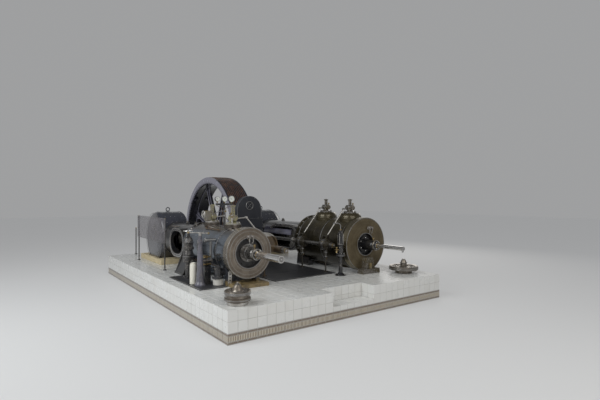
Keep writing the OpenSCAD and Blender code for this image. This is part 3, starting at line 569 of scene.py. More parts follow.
@dataclass(frozen=True)
class Enamel(Finish):
    """Smooth enamel or printed card, for dials and cans."""

    colour: Colour
    rough: float = 0.24

    def build(self, graph: ShaderGraph) -> None:
        """Writes faint yellowing, specks and a soft waviness."""
        age = graph.noise(8.0, 4.0, 0.6)
        speck = graph.noise(90.0, 4.0, 0.7)
        tone = graph.mix(age.step(0.4, 0.75) * 0.5, self.colour, dimmed(self.colour, 0.8))
        base = graph.mix(speck.step(0.66, 0.8) * 0.5, tone, dimmed(self.colour, 0.4))
        graph.surface(base, self.rough + age * 0.15, 0.0, graph.bump(age, 0.0006, 0.5), Coat_Weight=0.3)


@dataclass(frozen=True)
class WheelPaintLitFaces(Paint):
    """The rope wheel's paint, with painted light on the faces that look along X: the side faces of its rim, arms
    and teeth.
    """

    # Colour of the painted light on the side faces.
    face: Colour = (0.225, 0.218, 0.270)

    def build(self, graph: ShaderGraph) -> None:
        """Writes near-black oily paint, and painted light, broken up by a cloud, on the side faces."""
        across = graph.parts(graph.node("NewGeometry", output="True Normal"))[0]
        cloud = graph.noise(4.0, 5.0, 0.62)
        spots = graph.noise(52.0, 4.0, 0.7)
        # Painted light: faces that look along X take the light face colour, less where the cloud is high.
        side = abs(across).step(0.85, 0.95) * (1 - cloud.step(0.55, 0.8) * 0.45)
        base = graph.mix(side, self.worn(graph, cloud, spots.step(0.62, 0.76) * 0.4), self.face)
        graph.surface(base, self.gloss + cloud * 0.14 + spots * 0.06, side * 0.25,
                      graph.bump(spots + cloud, self.casting), Coat_Weight=self.coat, Coat_Roughness=0.12)


@dataclass(frozen=True)
class RodIron(Paint):
    """Painted iron whose long slanted rods, between two heights, are bare and bright."""

    low: float = 1.79
    high: float = 2.30
    bare: Colour = (0.50, 0.48, 0.45)

    def build(self, graph: ShaderGraph) -> None:
        """Writes oily paint, and bare steel between the two heights."""
        z = graph.parts(graph.place)[2]
        rod = z.step(self.low, self.low + 0.01) * z.step(self.high, self.high - 0.01)
        cloud = graph.noise(5.0, 4.0, 0.62)
        spots = graph.noise(60.0, 5.0, 0.7)
        worn = self.worn(graph, cloud, spots.step(0.64, 0.78) * (self.wear * 3.0))
        base = graph.mix(rod * (1 - spots.step(0.55, 0.8) * 0.5), worn, self.bare)
        graph.surface(base, self.gloss + cloud * 0.12 + spots * 0.06, rod * 0.9,
                      graph.bump(spots + cloud, self.casting), Coat_Weight=self.coat, Coat_Roughness=0.1)


@dataclass(frozen=True)
class FootIron(Paint):
    """Ochre paint on a foot's base, under a dark blue-grey upright whose colour holds painted shade under the
    cylinder.
    """

    above: float = 1.118
    # Dark blue-grey of the upright: dark iron with painted shade.
    upright: Colour = (0.024, 0.025, 0.030)

    def build(self, graph: ShaderGraph) -> None:
        """Writes blotched ochre paint that turns, above a height, to dark blue-grey: dark iron with painted shade.
        """
        cloud = graph.noise(7.0, 4.0, 0.62)
        spots = graph.noise(55.0, 5.0, 0.7)
        # Above a height the foot turns dark: painted shade from the cylinder over it, on dark iron.
        dark = (graph.parts(graph.place)[2] + (cloud - 0.5) * 0.06).step(self.above, self.above + 0.03)
        worn = self.worn(graph, cloud, spots.step(0.58, 0.74) * 0.7, 0.40, 0.62)
        base = graph.mix(dark, worn, graph.mix(spots.step(0.6, 0.8) * 0.3, self.upright, self.rubbed))
        graph.surface(base, self.gloss + cloud * 0.14 + spots * 0.06, 0.0,
                      graph.bump(spots + cloud, self.casting), Coat_Weight=self.coat, Coat_Roughness=0.15)


@dataclass(frozen=True)
class BoredIron(Paint):
    """Painted iron round a bright bored slideway."""

    centre: tuple[float, float] = (0.0, 1.6)
    bore: float = 0.30
    bright: Colour = (0.42, 0.40, 0.37)
    oiled: Colour = (0.16, 0.14, 0.115)

    def build(self, graph: ShaderGraph) -> None:
        """Writes gloss paint outside and oiled bare metal inside."""
        bare = graph.off_axis(self.centre)[2].step(self.bore + 0.006, self.bore + 0.004)
        cloud = graph.noise(4.2, 4.0, 0.6)
        tool = graph.noise(1.0, 3.0, 0.6, at=graph.scaled((60.0, 8.0, 60.0)))
        spots = graph.noise(50.0, 5.0, 0.68)
        metal = graph.mix(tool * 0.5 + cloud * 0.3, self.bright, self.oiled)
        base = graph.mix(bare, self.worn(graph, cloud, spots.step(0.66, 0.78) * 0.5), metal)
        graph.surface(base, self.gloss + (cloud - 0.5) * 0.14, bare * 0.9,
                      graph.bump(spots + tool, self.casting), Coat_Weight=self.coat, Coat_Roughness=0.1)


@dataclass(frozen=True)
class FloorIron(Finish):
    """Black iron floor plates, polished by feet."""

    colour: Colour = (0.040, 0.040, 0.044)
    scuffed: Colour = (0.17, 0.165, 0.16)
    oiled: Colour = (0.018, 0.018, 0.02)

    def build(self, graph: ShaderGraph) -> None:
        """Writes scuffs, oil and dust."""
        oil = graph.noise(3.4, 5.0, 0.64)
        scuff = graph.noise(60.0, 4.0, 0.72, at=graph.scaled((1.0, 0.3, 1.0)))
        tone = graph.mix(scuff.step(0.5, 0.78) * 0.5, self.colour, self.scuffed)
        base = graph.mix(oil.step(0.5, 0.75) * 0.5, tone, self.oiled)
        graph.surface(base, 0.5 - oil * 0.3 + scuff * 0.12, 0.25, graph.bump(scuff, 0.0006, 0.8))


class NodeShape(Graph):
    """A Geometry Nodes tree, built here, whose result is made into plain meshes."""

    family = "Geometry"
    KINDS: ClassVar[dict[type, str]] = {int: "NodeSocketInt", float: "NodeSocketFloat"}

    def __init__(self, name: str, inputs: dict[str, int | float]) -> None:
        """Starts a tree with its named inputs and their defaults.

        Args:
            name: The tree's name.
            inputs: Each input's name and default.
        """
        super().__init__(bpy.data.node_groups.new(name, "GeometryNodeTree"))
        self.sockets: dict[str, str] = {}
        new_socket = self.tree.interface.new_socket
        for label, default in inputs.items():
            item = new_socket(label, in_out="INPUT", socket_type=self.KINDS[type(default)])
            item.default_value = default
            self.sockets[label] = item.identifier
        finish = new_socket("Finish", in_out="INPUT", socket_type="NodeSocketMaterial")
        self.sockets["Finish"] = finish.identifier
        new_socket("Geometry", in_out="OUTPUT", socket_type="NodeSocketGeometry")
        self.entry = self.tree.nodes.new("NodeGroupInput")

    def given(self, *labels: str) -> list[Value]:
        """Gives the values of the tree's inputs."""
        return [Value(self, self.entry.outputs[label]) for label in labels]

    def moved(self, geometry: Value, **how: Any) -> Value:
        """Moves, turns or scales a geometry."""
        return self.node("Transform", Geometry=geometry, **how)

    def joined(self, *parts: Value) -> Value:
        """Joins several geometries.

        Args:
            *parts: The geometries, in order.

        Returns:
            The joined geometry.
        """
        join = self.tree.nodes.new("GeometryNodeJoinGeometry")
        for part in reversed(parts):
            self.tree.links.new(part.socket, join.inputs[0])
        return Value(self, join.outputs[0])

    def close(self, geometry: Value) -> NodeShape:
        """Ends the tree in Realize Instances and Set Material, and gives it.

        Args:
            geometry: What the tree has built.

        Returns:
            This tree.
        """
        real = self.node("RealizeInstances", Geometry=geometry)
        dressed = self.node("SetMaterial", Geometry=real, Material=self.given("Finish")[0])
        leave = self.tree.nodes.new("NodeGroupOutput")
        self.tree.links.new(dressed.socket, leave.inputs[0])
        return self

    def mesh(self, finish: Finish, **sizes: int | float) -> bpy.types.Mesh:
        """Runs the tree and gives its result as a plain mesh.

        Args:
            finish: The finish that the mesh gets.
            **sizes: The tree's inputs, with their spaces written as underscores.

        Returns:
            A new mesh.
        """
        holder = shown("holder", bpy.data.meshes.new("holder"))
        modifier = holder.modifiers.new("shape", "NODES")
        modifier.node_group = self.tree
        for label, size in sizes.items():
            modifier[self.sockets[label.replace("_", " ")]] = size
        modifier[self.sockets["Finish"]] = finish.material()
        graph = bpy.context.evaluated_depsgraph_get()
        made = bpy.data.meshes.new_from_object(holder.evaluated_get(graph))
        holder.modifiers.remove(modifier)
        bpy.data.objects.remove(holder)
        return made


def bolt_circle_tree() -> NodeShape:
    """Builds hexagon nuts on washers and stud ends, spread round a circle and facing +Z.

    Returns:
        The tree.
    """
    shape = NodeShape("bolt_circle", {"Count": 12, "Radius": 0.2, "Nut Radius": 0.016, "Start": 0.0})
    count, radius, nut, start = shape.given("Count", "Radius", "Nut Radius", "Start")
    layers = ((12, 1.22, 0.2, 0.1), (6, 1.0, 0.9, 0.65), (8, 0.55, 0.4, 1.3))
    stack = [shape.moved(shape.node("MeshCylinder", Vertices=sides, Radius=nut * width, Depth=nut * depth),
                         Translation=shape.join(z=nut * height))
             for sides, width, depth, height in layers]
    circle = shape.node("MeshCircle", {"fill_type": "NONE"}, Vertices=count, Radius=radius)
    twist = shape.node("RandomValue", {"data_type": "FLOAT"}, {2: 0.0, 3: 1.0}, 1, "Function", Seed=7)
    bolts = shape.node("InstanceOnPoints", Points=circle, Instance=shape.joined(*stack),
                       Rotation=shape.join(z=twist))
    return shape.close(shape.moved(bolts, Rotation=shape.join(z=start)))


def rivet_row_tree() -> NodeShape:
    """Builds a row of domed rivet heads along +X, facing +Z.

    Returns:
        The tree.
    """
    shape = NodeShape("rivet_row", {"Count": 10, "Length": 1.0, "Head Radius": 0.006})
    count, length, radius = shape.given("Count", "Length", "Head Radius")
    head = shape.moved(shape.node("MeshIcoSphere", Radius=radius, Subdivisions=2), Scale=(1.0, 1.0, 0.5))
    line = shape.node("MeshLine", {"mode": "END_POINTS"}, Count=count, Start_Location=(0.0, 0.0, 0.0),
                      Offset=shape.join(length))
    return shape.close(shape.node("InstanceOnPoints", Points=line, Instance=head))


def coil_tree() -> NodeShape:
    """Builds a round-wire spring standing on the origin along +Z.

    Returns:
        The tree.
    """
    shape = NodeShape("coil", {"Turns": 6.0, "Radius": 0.05, "Height": 0.2, "Wire": 0.006})
    turns, radius, height, thick = shape.given("Turns", "Radius", "Height", "Wire")
    spiral = shape.node("CurveSpiral", Resolution=20, Rotations=turns, Start_Radius=radius, End_Radius=radius,
                        Height=height)
    wire = shape.node("CurvePrimitiveCircle", {"mode": "RADIUS"}, Resolution=8, Radius=thick)
    return shape.close(shape.node("CurveToMesh", Curve=spiral, Profile_Curve=wire, Fill_Caps=True))


def rope_tree() -> NodeShape:
    """Builds a laid rope of three strands as a closed ring round the Z axis.

    Returns:
        The tree.
    """
    shape = NodeShape("laid_rope", {"Radius": 1.4, "Rope Radius": 0.019, "Steps": 420, "Lays": 24})
    radius, thick, steps, lays = shape.given("Radius", "Rope Radius", "Steps", "Lays")
    ring = shape.node("CurvePrimitiveCircle", {"mode": "RADIUS"}, Resolution=steps, Radius=radius)
    twist = shape.node("SplineParameter", output="Factor") * (lays * TAU)
    twisted = shape.node("SetCurveTilt", Curve=ring, Tilt=twist)
    lobes = shape.node("CurveStar", Points=3, Inner_Radius=thick * 0.72, Outer_Radius=thick)
    bulge = shape.node("SubdivideCurve", Curve=lobes, Cuts=1)
    return shape.close(shape.node("CurveToMesh", Curve=twisted, Profile_Curve=bulge))


def tile_tree() -> NodeShape:
    """Builds a field of tiles with eased edges, from the origin along +X and +Y and facing +Z.

    Returns:
        The tree.
    """
    shape = NodeShape("tile_field", {"Columns": 10, "Rows": 3, "Pitch": 0.15, "Joint": 0.003,
                                     "Thickness": 0.004, "Tilt": 0.004, "Seed": 3})
    columns, rows, pitch, joint = shape.given("Columns", "Rows", "Pitch", "Joint")
    thickness, tilt, seed = shape.given("Thickness", "Tilt", "Seed")
    face = shape.node("MeshGrid", Size_X=pitch - joint, Size_Y=pitch - joint, Vertices_X=2, Vertices_Y=2)
    block = shape.node("ExtrudeMesh", {"mode": "FACES"}, Mesh=face, Offset_Scale=thickness, Individual=False)
    tile = shape.node("ScaleElements", {"domain": "FACE"}, Geometry=block, Selection=block.output("Top"),
                      Scale=0.975)
    tile = shape.moved(tile, Translation=shape.join(z=thickness * -1.0))
    grid = shape.node("MeshGrid", Size_X=pitch * (columns - 1.0), Size_Y=pitch * (rows - 1.0),
                      Vertices_X=columns, Vertices_Y=rows)
    back = tilt * -1.0
    turn = shape.node("RandomValue", {"data_type": "FLOAT_VECTOR"},
                      {0: shape.join(back, back), 1: shape.join(tilt, tilt)}, family="Function", Seed=seed)
    tiles = shape.node("InstanceOnPoints", Points=grid, Instance=tile, Rotation=turn)
    half = shape.join(pitch * columns * 0.5, pitch * rows * 0.5)
    return shape.close(shape.moved(tiles, Translation=half))


def wire_tree() -> NodeShape:
    """Builds a wire mesh in the XY plane, from the origin along +X and +Y.

    Returns:
        The tree.
    """
    shape = NodeShape("wire_mesh", {"Width": 1.0, "Height": 0.5, "Across": 80, "Up": 40, "Wire": 0.001})
    width, height, across, up, thick = shape.given("Width", "Height", "Across", "Up", "Wire")
    layers = []
    for count, length, reach, upright in ((across, height, width, True), (up, width, height, False)):
        turned = (-math.pi / 2, 0.0, 0.0) if upright else (0.0, math.pi / 2, 0.0)
        bar = shape.moved(shape.node("MeshCylinder", Vertices=4, Radius=thick, Depth=length), Rotation=turned)
        half = length * 0.5
        bar = shape.moved(bar, Translation=shape.join(y=half) if upright else shape.join(half))
        line = shape.node("MeshLine", {"mode": "END_POINTS"}, Count=count, Start_Location=(0.0, 0.0, 0.0),
                          Offset=shape.join(reach) if upright else shape.join(y=reach))
        layers.append(shape.node("InstanceOnPoints", Points=line, Instance=bar))
    return shape.close(shape.joined(*layers))


class Trees:
    """The Geometry Nodes trees, each built the first time that it is needed."""

    builders: ClassVar[dict[str, Callable[[], NodeShape]]] = {
        "bolts": bolt_circle_tree, "rivets": rivet_row_tree, "coil": coil_tree,
        "rope": rope_tree, "tiles": tile_tree, "wires": wire_tree,
    }
    built: ClassVar[dict[str, NodeShape]] = {}

    @classmethod
    def get(cls, name: str) -> NodeShape:
        """Gives one tree by name.

        Args:
            name: The tree's name in this class.

        Returns:
            The tree.
        """
        if name not in cls.built:
            cls.built[name] = cls.builders[name]()
        return cls.built[name]


class Shape:
    """A piece under construction, in metres from its own origin."""

    def __init__(self, *finishes: Finish, origin: Point = (0, 0, 0), axis: Axis = Axis.Z) -> None:
        """Starts an empty piece.

        Args:
            *finishes: The finishes that its faces can have, the first one in use.
            origin: Where its own measures start in the engine's frame.
            axis: The axis that its first turned and flat forms follow.
        """
        self.mesh = bmesh.new()
        self.finishes = finishes
        self.current = 0
        self.origin = Vector(origin)
        self.on(axis)

    def use(self, finish: Finish) -> Shape:
        """Gives the faces that are added next another of the piece's finishes."""
        self.current = self.finishes.index(finish)
        return self

    def on(self, axis: Axis, centre: Point = (0, 0, 0)) -> Shape:
        """Lets the next turned and flat forms follow an axis from a centre."""
        self.axis, self.centre = axis, Vector(centre)
        return self

    def _skin(self, rows: Sequence[Sequence[bmesh.types.BMVert]]) -> Shape:
        """Adds the faces between rows of corners that go round, but for those that fall together.

        Args:
            rows: The corners of each row, in order.

        Returns:
            This piece.
        """
        for low, high in zip(rows, rows[1:]):
            for i in range(len(low)):
                j = (i + 1) % len(low)
                self._face((low[i], low[j], high[j], high[i]))
        return self

    def _face(self, around: Sequence[bmesh.types.BMVert]) -> None:
        """Adds a smooth face with the finish in use.

        Args:
            around: Its corners, of which some can be the same.
        """
        distinct = list(dict.fromkeys(around))
        if len(distinct) > 2:
            made = self.mesh.faces.new(distinct)
            made.material_index = self.current
            made.smooth = True

    def turned(self, profile: Profile, sides: int = 48, ring: bool = False) -> Shape:
        """Adds a turned form.

        Args:
            profile: Radius and place along the axis of each point.
            sides: How many steps it has round the axis.
            ring: True where the profile closes on itself.

        Returns:
            This piece.
        """
        rows = []
        for radius, along in profile:
            around = [(radius * math.cos(t), radius * math.sin(t))
                      for t in round_turns(1 if radius < POINTED else sides)]
            row = [self.mesh.verts.new(self.axis.place(self.centre, u, v, along)) for u, v in around]
            rows.append(row * (sides // len(row)))
        return self._skin(rows + rows[:1] if ring else rows)

    def disc(self, radius: float, low: float, high: float, sides: int = 48, ease: float = 0.003) -> Shape:
        """Adds a disc or round bar with eased edges.

        Args:
            radius: Its radius.
            low: Where it starts along the axis.
            high: Where it ends.
            sides: How many steps it has round the axis.
            ease: Width of the eased edges.

        Returns:
            This piece.
        """
        ease = min(ease, radius * 0.3, (high - low) * 0.3)
        return self.turned([(0.0, low), (radius - ease, low), (radius, low + ease),
                            (radius, high - ease), (radius - ease, high), (0.0, high)], sides)

    def hoop(self, inner: float, outer: float, low: float, high: float, sides: int = 64,
             ease: float = 0.002) -> Shape:
        """Adds a flat ring with eased outer edges.

        Args:
            inner: Inner radius.
            outer: Outer radius.
            low: Where one face is along the axis.
            high: Where the other is.
            sides: How many steps it has round the axis.
            ease: Width of the eased edges.

        Returns:
            This piece.
        """
        low, high = sorted((low, high))
        ease = min(ease, (outer - inner) * 0.3, (high - low) * 0.3)
        return self.turned([(inner, low), (outer - ease, low), (outer, low + ease),
                            (outer, high - ease), (outer - ease, high), (inner, high)], sides, ring=True)

    def torus(self, radius: float, sides: int) -> Shape:
        """Adds the round rim of a handwheel."""
        profile = [(radius + WIRE_RADIUS * math.cos(t), WIRE_RADIUS * math.sin(t)) for t in round_turns(10)]
        return self.turned(profile, sides, ring=True)

    def handwheel(self, radius: float, sides: int, high: float, inner: float, outer: float,
                  bar: float) -> Shape:
        """Adds a handwheel: a round rim, a hub up to a height, and spokes between two radii.

        Args:
            radius: Radius of the rim.
            sides: How many steps the rim has.
            high: Where the hub ends along the axis.
            inner: Where the spokes start.
            outer: Where they end.
            bar: Radius of a spoke.

        Returns:
            This piece.
        """
        self.torus(radius, sides).disc(0.020, -0.012, high, 20)
        for turn in round_turns(5):
            self.tube([self.centre + self.axis.out(turn, reach) for reach in (inner, outer)], bar, 8)
        return self

    def tube(self, path: Sequence[Point], radius: float, sides: int = 10) -> Shape:
        """Adds a round bar or pipe along a path of straight stretches, with closed ends.

        Args:
            path: The points that it runs through.
            radius: Its radius.
            sides: How many steps it has round.

        Returns:
            This piece.
        """
        points = [Vector(p) for p in path]
        ways = [(b - a).normalized() for a, b in zip(points, points[1:])]
        across = ways[0].orthogonal().normalized()
        rows = []
        for i, point in enumerate(points):
            before, after = ways[max(i - 1, 0)], ways[min(i, len(ways) - 1)]
            middle = (before + after).normalized()
            across = (across - middle * across.dot(middle)).normalized()
            up = middle.cross(across)
            stretch = 1 / max(0.5, math.sqrt(max(0.0, (1 + before.dot(after)) / 2)))
            around = [across * math.cos(t) + up * math.sin(t) for t in round_turns(sides)]
            rows.append([self.mesh.verts.new(point + way * radius * stretch) for way in around])
        self._skin(rows)
        self._face(rows[0][::-1])
        self._face(rows[-1])
        return self

    def bent(self, path: Sequence[Point], radius: float, bend: float, sides: int = 10) -> Shape:
        """Adds a pipe whose corners are round bends.

        Args:
            path: The corners that it runs round.
            radius: Its radius.
            bend: How far before a corner it starts to bend.
            sides: How many steps it has round.

        Returns:
            This piece.
        """
        points = [Vector(p) for p in path]
        route = [points[0]]
        for a, b, c in zip(points, points[1:], points[2:]):
            back, on = (a - b), (c - b)
            cut = min(bend, back.length * 0.45, on.length * 0.45)
            first, last = b + back.normalized() * cut, b + on.normalized() * cut
            route += [first * (1 - t) ** 2 + b * 2 * t * (1 - t) + last * t * t for t in spread(0.0, 1.0, 7)]
        return self.tube([*route, points[-1]], radius, sides)

    def block(self, low: Point, high: Point, ease: float = 0.003, turn: Matrix | None = None) -> Shape:
        """Adds a box with eased edges.

        Args:
            low: One corner.
            high: The corner across from it.
            ease: Width of the eased edges.
            turn: A further placing, if there is one.

        Returns:
            This piece.
        """
        made = bmesh.new()
        low, high = (Vector(map(pick, low, high)) for pick in (min, max))
        size = high - low
        place = Matrix.Translation((high + low) / 2) @ Matrix.Diagonal((*size, 1.0))
        bmesh.ops.create_cube(made, size=1.0, matrix=place)
        width = min(ease, min(size) * 0.3)
        bmesh.ops.bevel(made, geom=list(made.edges), offset=width, segments=1, affect="EDGES")
        return self._take(made, turn or Matrix.Identity(4))

    def plate(self, outline: Profile, low: float, high: float, ease: float = 0.0) -> Shape:
        """Adds a flat outline with thickness along the axis.

        Args:
            outline: Its corners, across and up as Axis.place takes them.
            low: Where it starts along the axis.
            high: Where it ends.
            ease: Width of its eased edges.

        Returns:
            This piece.
        """
        made = bmesh.new()
        rows = [[made.verts.new(self.axis.place(self.centre, u, v, w)) for u, v in outline]
                for w in (low, high)]
        made.faces.new(rows[0][::-1])
        made.faces.new(rows[1])
        for i in range(len(outline)):
            j = (i + 1) % len(outline)
            made.faces.new((rows[0][i], rows[0][j], rows[1][j], rows[1][i]))
        if ease > 0:
            bmesh.ops.bevel(made, geom=list(made.edges), offset=ease, segments=1, affect="EDGES")
        return self._take(made, Matrix.Identity(4))

    def band(self, inner: Profile, outer: Profile, low: float, high: float) -> Shape:
        """Adds the flat band between two closed outlines that have as many corners.

        Args:
            inner: The inner outline.
            outer: The outer one.
            low: Where one face is along the axis.
            high: Where the other is.

        Returns:
            This piece.
        """
        low, high = sorted((low, high))
        loops = [[self.mesh.verts.new(self.axis.place(self.centre, u, v, w)) for u, v in outline]
                 for outline, w in ((inner, low), (outer, low), (outer, high), (inner, high))]
        return self._skin(loops + loops[:1])

    def _take(self, made: bmesh.types.BMesh, turn: Matrix) -> Shape:
        """Takes a form into this piece with the finish in use.

        Args:
            made: The form, which is used up.
            turn: Where it is placed.

        Returns:
            This piece.
        """
        mesh = bpy.data.meshes.new("part")
        made.to_mesh(mesh)
        made.free()
        return self.add(mesh, turn)

    def add(self, mesh: bpy.types.Mesh, place: Matrix) -> Shape:
        """Adds a mesh, which is used up, at a place and gives it the finish in use.

        Args:
            mesh: The mesh.
            place: Where it is placed.

        Returns:
            This piece.
        """
        mesh.transform(place)
        before = len(self.mesh.faces)
        self.mesh.from_mesh(mesh)
        bpy.data.meshes.remove(mesh)
        self.mesh.faces.ensure_lookup_table()
        for face in self.mesh.faces[before:]:
            face.material_index = self.current
        return self

    def bolts(self, count: int, radius: float, nut: float, along: float = 0.0, flip: bool = False,
              start: float = 0.0, at: Point | None = None) -> Shape:
        """Adds a circle of nuts.

        Args:
            count: How many nuts it has.
            radius: Radius of the circle.
            nut: Radius of a nut.
            along: Where it is along the axis.
            flip: True where the nuts face against the axis.
            start: Angle of the first nut.
            at: The circle's middle, where it isn't the centre in use.

        Returns:
            This piece.
        """
        made = Trees.get("bolts").mesh(self.finishes[self.current], Count=count, Radius=radius, Nut_Radius=nut,
                                       Start=start)
        place = self.axis.place(self.centre if at is None else at, 0.0, 0.0, along)
        over = Matrix.Rotation(math.pi, 4, "X") if flip else Matrix.Identity(4)
        return self.add(made, Matrix.Translation(place) @ self.axis.turn() @ over)

    def nut(self, radius: float, at: Point, flip: bool = False) -> Shape:
        """Adds one nut at a place."""
        return self.bolts(1, 0.0, radius, 0.0, flip, 0.0, at)

    def piece(self, name: str, slot: str, body: str = "root") -> bpy.types.Object:
        """Finishes the piece and lets it ride on a body.

        Args:
            name: The piece's name.
            slot: The name of a material slot; not used.
            body: The body that it moves with.

        Returns:
            The finished object.
        """
        bmesh.ops.translate(self.mesh, vec=self.origin, verts=list(self.mesh.verts))
        bmesh.ops.recalc_face_normals(self.mesh, faces=list(self.mesh.faces))
        mesh = bpy.data.meshes.new(name)
        self.mesh.to_mesh(mesh)
        self.mesh.free()
        for finish in self.finishes:
            mesh.materials.append(finish.material())
        mesh.shade_smooth()
        mesh.set_sharp_from_angle(angle=SMOOTH_ANGLE)
        made = shown(name, mesh)
        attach(made, body)
        LOG.info("%s rides on %s with %d faces", name, body, len(mesh.polygons))
        return made


TILE_PITCH = 0.15
WHITE_TILE = Glaze("white_tile", TILE_PITCH)
BORDER_TILE = BorderGlaze("border_tile", TILE_PITCH, 0.6, 0.75)
CEMENT = Mortar("joint_cement")
FLOOR_IRON = FloorIron("floor_iron")
# The colour after the roughness in each lagging is the painted reflection along the barrel's top.
LEFT_SHEET = Lagging("blue_lagging", (0.235, 0.268, 0.312), (0.185, 0.205, 0.232), (0.085, 0.092, 0.105),
                     (-1.25, 1.6), 0.95, 0.2, (0.105, 0.080, 0.055), 0.10)
RIGHT_SHEET = Lagging("olive_lagging", (0.036, 0.030, 0.017), (0.022, 0.018, 0.010), (0.008, 0.007, 0.006),
                      (1.25, 1.6), 0.45, 0.2, (0.070, 0.058, 0.032))
LEFT_COVER = TurnedIron("left_cover_iron", (-1.25, 1.6), 0.425, (0.235, 0.198, 0.158), (0.125, 0.098, 0.074),
                        (0.46, 0.42, 0.36))
RIGHT_COVER = TurnedIron("right_cover_iron", (1.25, 1.6), 0.525, (0.150, 0.118, 0.068),
                         (0.085, 0.064, 0.034), (0.30, 0.26, 0.18))
BLACK_IRON = Paint("black_iron", (0.024, 0.024, 0.027), (0.040, 0.035, 0.031))
BLACK_GLOSS = Paint("black_gloss", (0.010, 0.010, 0.012), (0.022, 0.020, 0.019), gloss=0.2, coat=0.7)
DARK_IRON = Paint("dark_iron", (0.020, 0.021, 0.025), (0.036, 0.032, 0.028), wear=0.14, gloss=0.24, coat=0.6)
OCHRE_IRON = Paint("ochre_iron", (0.205, 0.152, 0.062), (0.110, 0.082, 0.036), wear=0.16)
LEFT_FOOT = FootIron("left_foot_paint", (0.225, 0.165, 0.075), (0.100, 0.072, 0.032), (0.34, 0.27, 0.16))
OLIVE_IRON = Paint("olive_iron", (0.070, 0.056, 0.028), (0.038, 0.030, 0.016), wear=0.16, gloss=0.22, coat=0.6)
GEAR_IRON = RodIron("gear_iron", (0.030, 0.025, 0.015), (0.016, 0.013, 0.010), (0.14, 0.13, 0.11), wear=0.22,
                    gloss=0.2, coat=0.7)
RUSTY_GEAR = RodIron("rusty_gear", (0.095, 0.060, 0.026), (0.040, 0.026, 0.014), (0.17, 0.12, 0.07),
                     wear=0.25, gloss=0.32, coat=0.4)
GREEN_BRONZE = Paint("green_bronze", (0.290, 0.270, 0.125), (0.150, 0.125, 0.055), wear=0.2, gloss=0.24,
                     coat=0.5)
CASING_PAINT = Paint("casing_paint", (0.036, 0.038, 0.050), (0.023, 0.024, 0.031), wear=0.04, gloss=0.14,
                     coat=1.0, casting=0.0002)
SHIELD_PAINT = Paint("shield_paint", (0.015, 0.017, 0.024), (0.021, 0.023, 0.030), wear=0.02, gloss=0.45,
                     coat=0.1, casting=0.0002)
VIOLET_PAINT = Paint("violet_paint", (0.100, 0.098, 0.135), (0.055, 0.053, 0.072), wear=0.06, gloss=0.12,
                     coat=1.0, casting=0.0002)
COLUMN_PAINT = Paint("column_paint", (0.125, 0.122, 0.150), (0.080, 0.078, 0.092), gloss=0.3, coat=0.5)
STEEL = Bright("bright_steel", (0.600, 0.585, 0.560), (0.180, 0.130, 0.085))
ROD_STEEL = Bright("rod_steel", (0.700, 0.690, 0.675), (0.300, 0.240, 0.180), 0.12, 0.12, (12.0, 1.0, 12.0))
EDGE_STEEL = Bright("edge_steel", (0.330, 0.325, 0.320), (0.090, 0.074, 0.060), 0.28, 0.5)
BRASS = Bright("brass", (0.350, 0.262, 0.130), (0.100, 0.064, 0.030), 0.24, 0.6)
COPPER = Bright("copper", (0.200, 0.110, 0.070), (0.070, 0.042, 0.032), 0.34, 0.6)
HEMP = Hemp("tarred_hemp")
PINE_ALONG = Timber("pine_along", (26.0, 2.0, 26.0))
PINE_ACROSS = Timber("pine_across", (2.0, 26.0, 26.0))
CREAM = Enamel("cream_enamel", (0.72, 0.69, 0.60))
DIAL_CARD = Enamel("dial_card", (0.80, 0.82, 0.76), 0.18)
DIAL_INK = Enamel("dial_ink", (0.03, 0.03, 0.035), 0.4)
# Near-black iron: the right tail gland's black, and in the rear covers' recesses also painted shade.
NEAR_BLACK_AND_SHADE = Paint("near_black_and_shade", (0.007, 0.007, 0.008), (0.014, 0.012, 0.011), (0.07, 0.065, 0.06), wear=0.06,
             gloss=0.36, coat=0.15)
RED_IRON = Paint("red_iron", (0.110, 0.050, 0.030), (0.060, 0.034, 0.022), wear=0.25, gloss=0.4)
WHEEL_PAINT = WheelPaintLitFaces("wheel_paint_lit_faces", (0.022, 0.022, 0.030), (0.012, 0.012, 0.016), (0.13, 0.125, 0.14),
                        gloss=0.16, coat=0.8)
LEFT_GUIDE = BoredIron("left_guide_paint", (0.016, 0.017, 0.020), (0.028, 0.025, 0.022), gloss=0.3,
                       coat=0.35, centre=(-1.25, 1.6))
RIGHT_GUIDE = BoredIron("right_guide_paint", (0.014, 0.015, 0.018), (0.026, 0.022, 0.018), gloss=0.18,
                        coat=0.9, centre=(1.25, 1.6))
PISTON_IRON = Bright("piston_iron", (0.250, 0.225, 0.190), (0.085, 0.060, 0.042), 0.28, 0.75)
SHAFT_STEEL = Bright("shaft_steel", (0.260, 0.250, 0.235), (0.060, 0.045, 0.032), 0.22, 0.6)
# Light violet-grey for painted light on the rope wheel's rim faces.
WHEEL_LIT_EDGE = Paint("wheel_lit_edge", (0.300, 0.292, 0.350), (0.200, 0.195, 0.235), (0.45, 0.44, 0.47), gloss=0.3,
                   coat=0.5)
SHIELD_EDGE = Paint("shield_edge", (0.085, 0.088, 0.098), (0.050, 0.052, 0.060), (0.24, 0.24, 0.25), wear=0.3)
LAGGED = Mortar("lagged_cloth", (0.60, 0.58, 0.53))
WIRE = Bright("wire_mesh", (0.300, 0.285, 0.300), (0.120, 0.105, 0.100), 0.4, 0.4)

